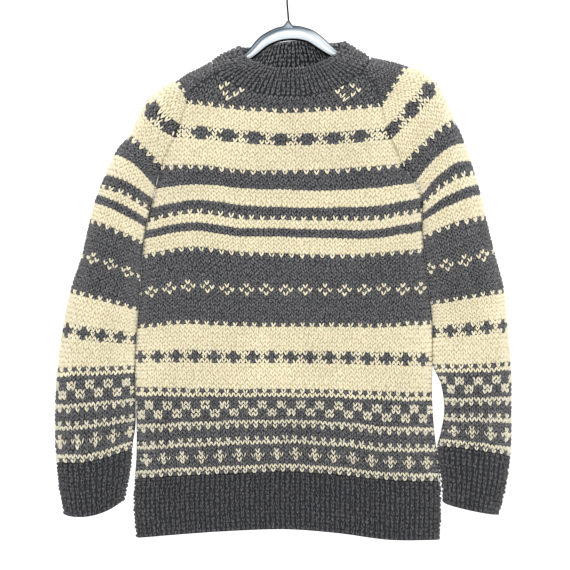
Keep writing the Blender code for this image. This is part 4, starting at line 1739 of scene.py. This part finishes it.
@dataclass
class RibBand:
    """A ribbed band in charcoal: a shell with a column of narrow stitches on each rib.

    flat is the cut's length round the band and its height, in metres. It is not used.
    """

    name: str
    ribs: int
    rows: int
    flat: tuple[float, float]
    seed: int
    yarns: dict[Yarn, bpy.types.Material]
    hollows: dict[Yarn, bpy.types.Material]

    def loops(self, shares: np.ndarray) -> np.ndarray:
        """Closed loops round the band at these shares of its height, from the bottom.

        Args:
            shares: 0 at the bottom edge and 1 at the top edge.

        Returns:
            Points in millimetres, loops by places.
        """
        raise NotImplementedError

    def turned(self) -> bool:
        """Whether the loops run against the outward side."""
        return False

    def lattice(self) -> Lattice:
        """Counts the band off in rows and ribs.

        Returns:
            The lattice, whose columns are ribs.
        """
        shares = np.linspace(0, 1, READINGS * self.rows + 1)
        loops = self.loops(shares)
        first = np.concatenate([loops[0], loops[0][:1]])
        run = np.concatenate([[0], np.cumsum(np.linalg.norm(np.diff(first, axis=0), axis=1))])
        wanted = np.linspace(0, run[-1], READINGS * self.ribs + 1)
        places = np.interp(wanted, run, np.arange(len(run)))
        ringed = np.concatenate([loops, loops[:, :1]], axis=1)
        i = np.minimum(places.astype(int), ringed.shape[1] - 2)
        t = (places - i)[None, :, None]
        points = ringed[:, i] * (1 - t) + ringed[:, i + 1] * t
        around = np.concatenate([points[:, -2:-1], points, points[:, 1:2]], axis=1)
        step = 1 / READINGS
        ways = (around[:, 2:] - around[:, :-2]) / (2 * step)
        normals = surface_normals(around, self.turned())[:, 1:-1]
        levels = len(shares)
        return Lattice(
            first_row=0.0,
            row_step=step,
            first_column=0.0,
            column_step=step,
            points=points,
            ways=ways,
            normals=normals,
            column_min=np.zeros(levels),
            column_max=np.full(levels, float(self.ribs)),
            over=np.zeros(points.shape[:2] + (1,)),
            turned=self.turned(),
        )

    def faces(self, lattice: Lattice) -> dict[str, Lattice]:
        """The faces of the band that show stitches, each with its own lattice."""
        return {"stitches": lattice}

    def build(self) -> list[bpy.types.Object]:
        """Returns:
            The shell and the stitch piece.
        """
        lattice = self.lattice()
        outer, normals = lattice.points[::READINGS, :-1:2], lattice.normals[::READINGS, :-1:2]
        depths = (RIB_SHELL_DEPTH, RIB_SHELL_DEPTH + SHELL_WALL)
        pieces = [shell_object(self.name, outer, normals, depths, True, None, self.hollows)]
        rows = np.arange(self.rows) + RIB_ROW_MIDDLE
        columns = np.arange(self.ribs) + RIB_COLUMN_MIDDLE
        all_rows, all_columns = (g.ravel() for g in np.meshgrid(rows, columns, indexing="ij"))
        for face, (label, faced) in enumerate(self.faces(lattice).items()):
            yarn = Yarn.INNER_CHARCOAL if face else Yarn.CHARCOAL
            ribs = stitches(
                f"{self.name}_{label}",
                faced,
                all_rows,
                all_columns,
                RIB_LEG,
                self.yarns[yarn],
                self.seed + face,
            )
            pieces.append(ribs)
        finish_cloth(pieces, self.name)
        return pieces


@dataclass
class HemRib(RibBand):
    """The welt round the bottom of the body."""

    def loops(self, shares: np.ndarray) -> np.ndarray:
        """Closed loops round the body, the front first.

        Args:
            shares: 0 at the bottom edge and 1 at the top edge.

        Returns:
            Points in millimetres, loops by places.
        """
        top = RIB_TOP_ROW - RIB_GAP / ROW_PITCH
        rows = BODY[0].row + (top - BODY[0].row) * shares
        turn = np.linspace(0, math.pi, HEM_READINGS)
        front = body_surface(rows, -np.cos(turn), FRONT_NECK, FRONT_CREASES, Side.FRONT)
        back = body_surface(rows, np.cos(turn), BACK_NECK, BACK_CREASES, Side.BACK)
        return np.concatenate([front[:, :-1], back[:, :-1]], axis=1)


@dataclass
class Cuff(RibBand):
    """The ribbed end of a sleeve."""

    shape: SleeveShape

    def loops(self, shares: np.ndarray) -> np.ndarray:
        """Closed loops round the wrist.

        Args:
            shares: 0 at the bottom edge and 1 at the top edge.

        Returns:
            Points in millimetres, loops by places.
        """
        bottom = self.shape.lower[0].row
        top = RIB_TOP_ROW - RIB_GAP / ROW_PITCH
        rows = bottom + (top - bottom) * shares
        turns = np.linspace(0, 2 * math.pi, CUFF_READINGS)
        return sleeve_surface(rows, turns, self.shape)[:, :-1]

    def turned(self) -> bool:
        """Whether the loops run against the outward side."""
        return self.shape.arm is Arm.RIGHT


def collar_top(base: np.ndarray) -> np.ndarray:
    """The points of the collar's top edge over points of its base.

    Args:
        base: points round the neck edge, in millimetres.

    Returns:
        One point of the top edge for each, in millimetres.
    """
    across = (base[:, 0] - COLLAR_TOP_X) / COLLAR_BASE_HALF_WIDTH
    angle = np.arctan2(base[:, 1] / COLLAR_BASE_HALF_DEPTH, across)
    x = COLLAR_TOP_HALF_WIDTH * np.cos(angle)
    front = np.clip(-np.sin(angle), 0, 1) ** COLLAR_DIP_POWER
    back = np.clip(np.sin(angle), 0, 1)
    drop = COLLAR_TOP_DROP + COLLAR_TOP_TILT * x
    drop = drop + COLLAR_FRONT_DIP * front + COLLAR_BACK_DIP * back
    drop = drop - COLLAR_BACK_RISE * back**COLLAR_BACK_RISE_POWER
    return placed(COLLAR_TOP_X + x, COLLAR_TOP_HALF_DEPTH * np.sin(angle), drop)


@dataclass
class Collar(RibBand):
    """The mock-neck band, which stands on the upper edges of the four panels."""

    def faces(self, lattice: Lattice) -> dict[str, Lattice]:
        """Both faces: the inner one shows at the back of the neck.

        Args:
            lattice: the outer face, counted off.

        Returns:
            Each face's lattice by the name of its stitches.
        """
        inner = replace(
            lattice,
            points=lattice.points - lattice.normals * 2 * RIB_SHELL_DEPTH,
            normals=-lattice.normals,
            turned=not lattice.turned,
        )
        return {"stitches": lattice, "inner_stitches": inner}

    def loops(self, shares: np.ndarray) -> np.ndarray:
        """Closed loops round the neck, the front first.

        Args:
            shares: 0 at the bottom edge and 1 at the top edge.

        Returns:
            Points in millimetres, loops by places.
        """
        top_row = np.array([NECK_ROW])
        across = np.linspace(-1, 1, NECK_READINGS)
        turns = np.linspace(0, 2 * math.pi, NECK_TURNS)
        front = body_surface(top_row, across, FRONT_NECK, FRONT_CREASES, Side.FRONT)[0]
        back = body_surface(top_row, across, BACK_NECK, BACK_CREASES, Side.BACK)[0]
        left = sleeve_surface(top_row, turns, LEFT_SLEEVE)[0]
        right = sleeve_surface(top_row, turns, RIGHT_SLEEVE)[0]
        base = np.concatenate([front, left[1:-1], back[::-1], right[::-1][1:-1]])
        top = collar_top(base)
        way = top - base
        foot = base + way / np.linalg.norm(way, axis=1, keepdims=True) * SEAM_GAP
        aside = (base[:, 0] - COLLAR_TOP_X) / COLLAR_BASE_HALF_WIDTH
        sideways = -COLLAR_RIGHT_BULGE * np.clip(-aside, 0, 1) ** 2
        facing = placed(sideways, COLLAR_BULGE * np.sign(base[:, 1]), -HOOK_RISE)
        share = shares[:, None, None]
        return foot + (top - foot) * share + facing * np.sin(math.pi * share)


@dataclass
class Hanger:
    """The arched hanger with its boss, moulded in one, and the wire hook.

    Sizes are in millimetres. The top and under lines are bands of painted shade and
    reflection: each is half as thick as its value, its middle lies inside the edge by its
    inset, and its spread tells how many times as wide as thick it is. boss_heights gives
    drops and radii down the boss.
    """

    width: float = 10.0
    section: int = 28
    section_power: float = 0.8
    tip_length: float = 2.6
    step: float = 2.5
    shade_line_sides: int = 8
    boss_sides: int = 24
    boss_inset: float = 0.3
    top_shade_line: float = 0.8
    top_inset: float = 0.0
    under_shade_line: float = 1.7
    under_inset: float = 0.9
    shade_line_spread: float = 3.4
    boss_heights: tuple = ((62.0, 2.4), (64.0, 3.2), (66.5, 4.9), (69.0, 7.1), (71.0, 9.0), (74.0, 12.0))

    def line(self) -> tuple[np.ndarray, np.ndarray, np.ndarray, np.ndarray]:
        """Reads the hanger's middle line.

        Returns:
            Its x, its drop, the hanger's height there, and the unit way across the line.
        """
        ends = HANGER[0].x, HANGER[-1].x
        x = np.linspace(*ends, round((ends[1] - ends[0]) / self.step) + 1)
        places = [p.x for p in HANGER]
        drop = smooth(x, places, [p.drop for p in HANGER])
        height = smooth(x, places, [p.height for p in HANGER])
        slope = np.gradient(drop, x)
        across = np.stack([-slope, np.ones_like(slope)], axis=-1)
        return x, drop, height, across / np.linalg.norm(across, axis=1, keepdims=True)

    def arch(self, material: bpy.types.Material) -> bpy.types.Object:
        """Builds the arch and its arms, oval in section.

        Args:
            material: its plastic.

        Returns:
            The arch.
        """
        x, drop, height, across = self.line()
        angles = np.arange(self.section) * 2 * math.pi / self.section
        rise = np.cos(angles)[None, :] * height[:, None] / 2
        round_out = np.abs(np.sin(angles)) ** self.section_power
        out = np.sign(np.sin(angles)) * round_out * self.width / 2
        points = placed(
            x[:, None] + rise * across[:, :1], out[None, :], drop[:, None] + rise * across[:, 1:]
        )
        tip_x = np.array([x[0] - self.tip_length, x[-1] + self.tip_length])
        tips = placed(tip_x, np.zeros(2), drop[[0, -1]])
        index, quads = tube_quads(*points.shape[:2])
        first, last = np.full(self.section, index.size), np.full(self.section, index.size + 1)
        ends = [
            np.stack([first, np.roll(index[0], -1), index[0]], axis=-1),
            np.stack([last, index[-1], np.roll(index[-1], -1)], axis=-1),
        ]
        return build_object(
            "hanger_arch",
            np.concatenate([points.reshape(-1, 3), tips]),
            [quads, *ends],
            [material],
            outward=True,
        )

    def edge(
        self, name: str, side: int, radius: float, inset: float, material: bpy.types.Material
    ) -> bpy.types.Object:
        """A dark line of painted shade and reflection along the top or the underside.

        Args:
            name: the piece's name.
            side: -1 on top and 1 underneath.
            radius: half its thickness in millimetres.
            inset: how far its middle lies inside the edge, in millimetres.
            material: its plastic.

        Returns:
            The line.
        """
        x, drop, height, across = self.line()
        reach = (height / 2 - inset) * side
        centre = placed(x + reach * across[:, 0], np.zeros(len(x)), drop + reach * across[:, 1])
        angles = np.arange(self.shade_line_sides) * 2 * math.pi / self.shade_line_sides
        up = np.stack([across[:, 0], np.zeros(len(x)), -across[:, 1]], axis=-1)
        ring = centre[:, None] + radius * (
            np.cos(angles)[None, :, None] * up[:, None]
            + self.shade_line_spread * np.sin(angles)[None, :, None] * np.array((0.0, 1.0, 0.0))
        )
        return capped_tube(name, ring, material)

    def boss(self, material: bpy.types.Material) -> bpy.types.Object:
        """Builds the flared boss that takes the wire.

        Args:
            material: its plastic.

        Returns:
            The boss.
        """
        angles = np.arange(self.boss_sides) * 2 * math.pi / self.boss_sides
        rings = []
        for drop, radius in self.boss_heights:
            x = ARCH_CENTRE_X + radius * np.cos(angles)
            depth = min(radius, self.width / 2 - self.boss_inset)
            rings.append(placed(x, depth * np.sin(angles), np.full(self.boss_sides, drop)))
        return capped_tube("hanger_boss", np.stack(rings), material)

    def build(self, hook: bpy.types.Object) -> None:
        """Builds the moulded arch and boss, and the lines of painted shade and reflection,
        over the hanger's solid, and finishes the wire.

        Args:
            hook: the wire hook's own solid, which stays.
        """
        silver, dark = SILVER_PLASTIC.material(), SHADOW_PLASTIC.material()
        pieces = [
            self.arch(silver),
            self.boss(BOSS_PLASTIC.material()),
            self.edge("hanger_top_shade_line", -1, self.top_shade_line, self.top_inset, dark),
            self.edge("hanger_under_shade_line", 1, self.under_shade_line, self.under_inset, dark),
        ]
        for piece in pieces:
            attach(piece, "root")
        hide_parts("hanger")
        hook.data.materials.clear()
        hook.data.materials.append(HOOK_STEEL.material())
        LOG.info("hanger: %d pieces and its hook", len(pieces))


@dataclass(frozen=True)
class SoftLamp:
    """A square lamp with a cloth front: its place and side in metres, and its watts."""

    name: str
    place: tuple[float, float, float]
    side: float
    power: float

    def build(self, target: np.ndarray) -> None:
        """Hangs the lamp and turns it to face a point.

        Args:
            target: the point, in metres.
        """
        light = bpy.data.lights.new(self.name, "AREA")
        light.shape = "SQUARE"
        light.size = self.side
        light.energy = self.power
        lamp = bpy.data.objects.new(self.name, light)
        lamp.location = self.place
        way = target - np.array(self.place)
        lamp.rotation_euler = (
            math.acos(-way[2] / np.linalg.norm(way)),
            0.0,
            math.atan2(way[1], way[0]) - math.pi / 2,
        )
        bpy.context.scene.collection.objects.link(lamp)


LAMPS = (
    SoftLamp("key_lamp", (-1.6, -1.7, 1.5), 1.0, 28.0),
    SoftLamp("fill_lamp", (1.9, -2.1, 0.1), 1.6, 31.0),
    SoftLamp("front_lamp", (-0.2, -3.2, 0.2), 1.2, 33.0),
    SoftLamp("wall_lamp", (0.0, 0.6, 2.4), 2.5, 105.0),
)


@dataclass(frozen=True)
class Studio:
    """A pale paper sweep, soft lamps and the camera. Sizes are in metres, lens in millimetres."""

    floor_z: float = -1.25
    floor_front: float = -7.0
    wall_y: float = 1.5
    wall_top: float = 3.5
    half_width: float = 5.0
    bend: float = 0.5
    bend_steps: int = 13
    surrounding: float = 0.49
    lens: float = 200.0
    sensor: float = 36.0
    distance: float = 4.765
    aim: tuple[float, float] = (-0.006, -0.4755)

    def sweep(self) -> None:
        """Lays the floor and backdrop, one curved sheet of paper."""
        turn = np.linspace(0, math.pi / 2, self.bend_steps)
        bent_y = self.wall_y - self.bend * (1 - np.sin(turn))
        bent_z = self.floor_z + self.bend * (1 - np.cos(turn))
        y = np.concatenate([[self.floor_front], bent_y, [self.wall_y]])
        z = np.concatenate([[self.floor_z], bent_z, [self.wall_top]])
        sides = (-self.half_width, self.half_width)
        points = np.stack([np.stack([np.full(len(y), x), y, z], axis=-1) for x in sides], axis=1) / MM
        index = np.arange(2 * len(y)).reshape(-1, 2)
        quads = np.stack([index[:-1, 0], index[:-1, 1], index[1:, 1], index[1:, 0]], axis=-1)
        paper = StudioPaper("studio_paper", "#f7f7f7").material()
        build_object("paper_sweep", points.reshape(-1, 3), [quads], [paper])

    def build(self) -> None:
        """Sets the stage, the lamps, the surrounding light and the camera."""
        self.sweep()
        for lamp in LAMPS:
            lamp.build(np.array((self.aim[0], 0.0, self.aim[1])))
        world = bpy.data.worlds.new("studio_air")
        world.use_nodes = True
        air = world.node_tree.nodes["Background"]
        air.inputs["Color"].default_value = linear("#ffffff")
        air.inputs["Strength"].default_value = self.surrounding
        bpy.context.scene.world = world
        bpy.context.scene.view_settings.view_transform = "Standard"
        camera = bpy.data.cameras.new("camera")
        camera.lens = self.lens
        camera.sensor_width = self.sensor
        camera.sensor_fit = "HORIZONTAL"
        stand = bpy.data.objects.new("camera", camera)
        stand.location = (self.aim[0], -self.distance, self.aim[1])
        stand.rotation_euler = (math.pi / 2, 0.0, 0.0)
        bpy.context.scene.collection.objects.link(stand)
        bpy.context.scene.camera = stand


def main() -> None:
    """Loads the frame and dresses it piece by piece."""
    logging.basicConfig(level=logging.INFO, format="%(message)s")
    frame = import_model()
    yarns = {
        Yarn.CREAM: CREAM_WOOL.material(),
        Yarn.CHARCOAL: CHARCOAL_WOOL.material(),
        Yarn.SHADED_CREAM: SHADED_CREAM_WOOL.material(),
        Yarn.INNER_CHARCOAL: INNER_WOOL.material(),
    }
    # The ribs take the charcoal wool drawn with painted shade.
    rib_yarns = {**yarns, Yarn.CHARCOAL: RIB_WOOL.material()}
    hollows = {Yarn.CREAM: CREAM_HOLLOW.material(), Yarn.CHARCOAL: CHARCOAL_HOLLOW.material()}
    # The flat sizes are the cut of what shows: widths and lengths, then areas.
    wools = {"yarns": yarns, "hollows": hollows}
    rib_wools = {"yarns": rib_yarns, "hollows": hollows}
    body = {"slot": "body_wool", "diamond_shift": -1, **wools}
    arm = {"slot": "sleeve_wool", "diamond_shift": 1, "flat": (0.25, 0.62), "area": 0.13, **wools}
    cuff = {"ribs": 30, "rows": 13, "flat": (0.19, 0.08), **rib_wools}
    pieces = (
        BodyPanel(
            name="body_front", flat=(0.50, 0.62), area=0.27, seed=11,
            side=Side.FRONT, neck=FRONT_NECK, creases=FRONT_CREASES, **body,
        ),
        BodyPanel(
            name="body_back", flat=(0.50, 0.64), area=0.28, seed=21,
            side=Side.BACK, neck=BACK_NECK, creases=BACK_CREASES, **body,
        ),
        Sleeve(name="sleeve_right", seed=31, shape=RIGHT_SLEEVE, **arm),
        Sleeve(name="sleeve_left", seed=41, shape=LEFT_SLEEVE, **arm),
        HemRib(name="hem_rib", ribs=126, rows=15, flat=(0.95, 0.09), seed=51, **rib_wools),
        Cuff(name="cuff_right", seed=61, shape=RIGHT_SLEEVE, **cuff),
        Cuff(name="cuff_left", seed=71, shape=LEFT_SLEEVE, **cuff),
        Collar(name="collar", ribs=80, rows=8, flat=(0.45, 0.047), seed=81, **wools),
    )
    for piece in pieces:
        piece.build()
    Hanger().build(frame["nodes"]["hanger_hook"])
    Studio().build()


if __name__ == "__main__":
    main()
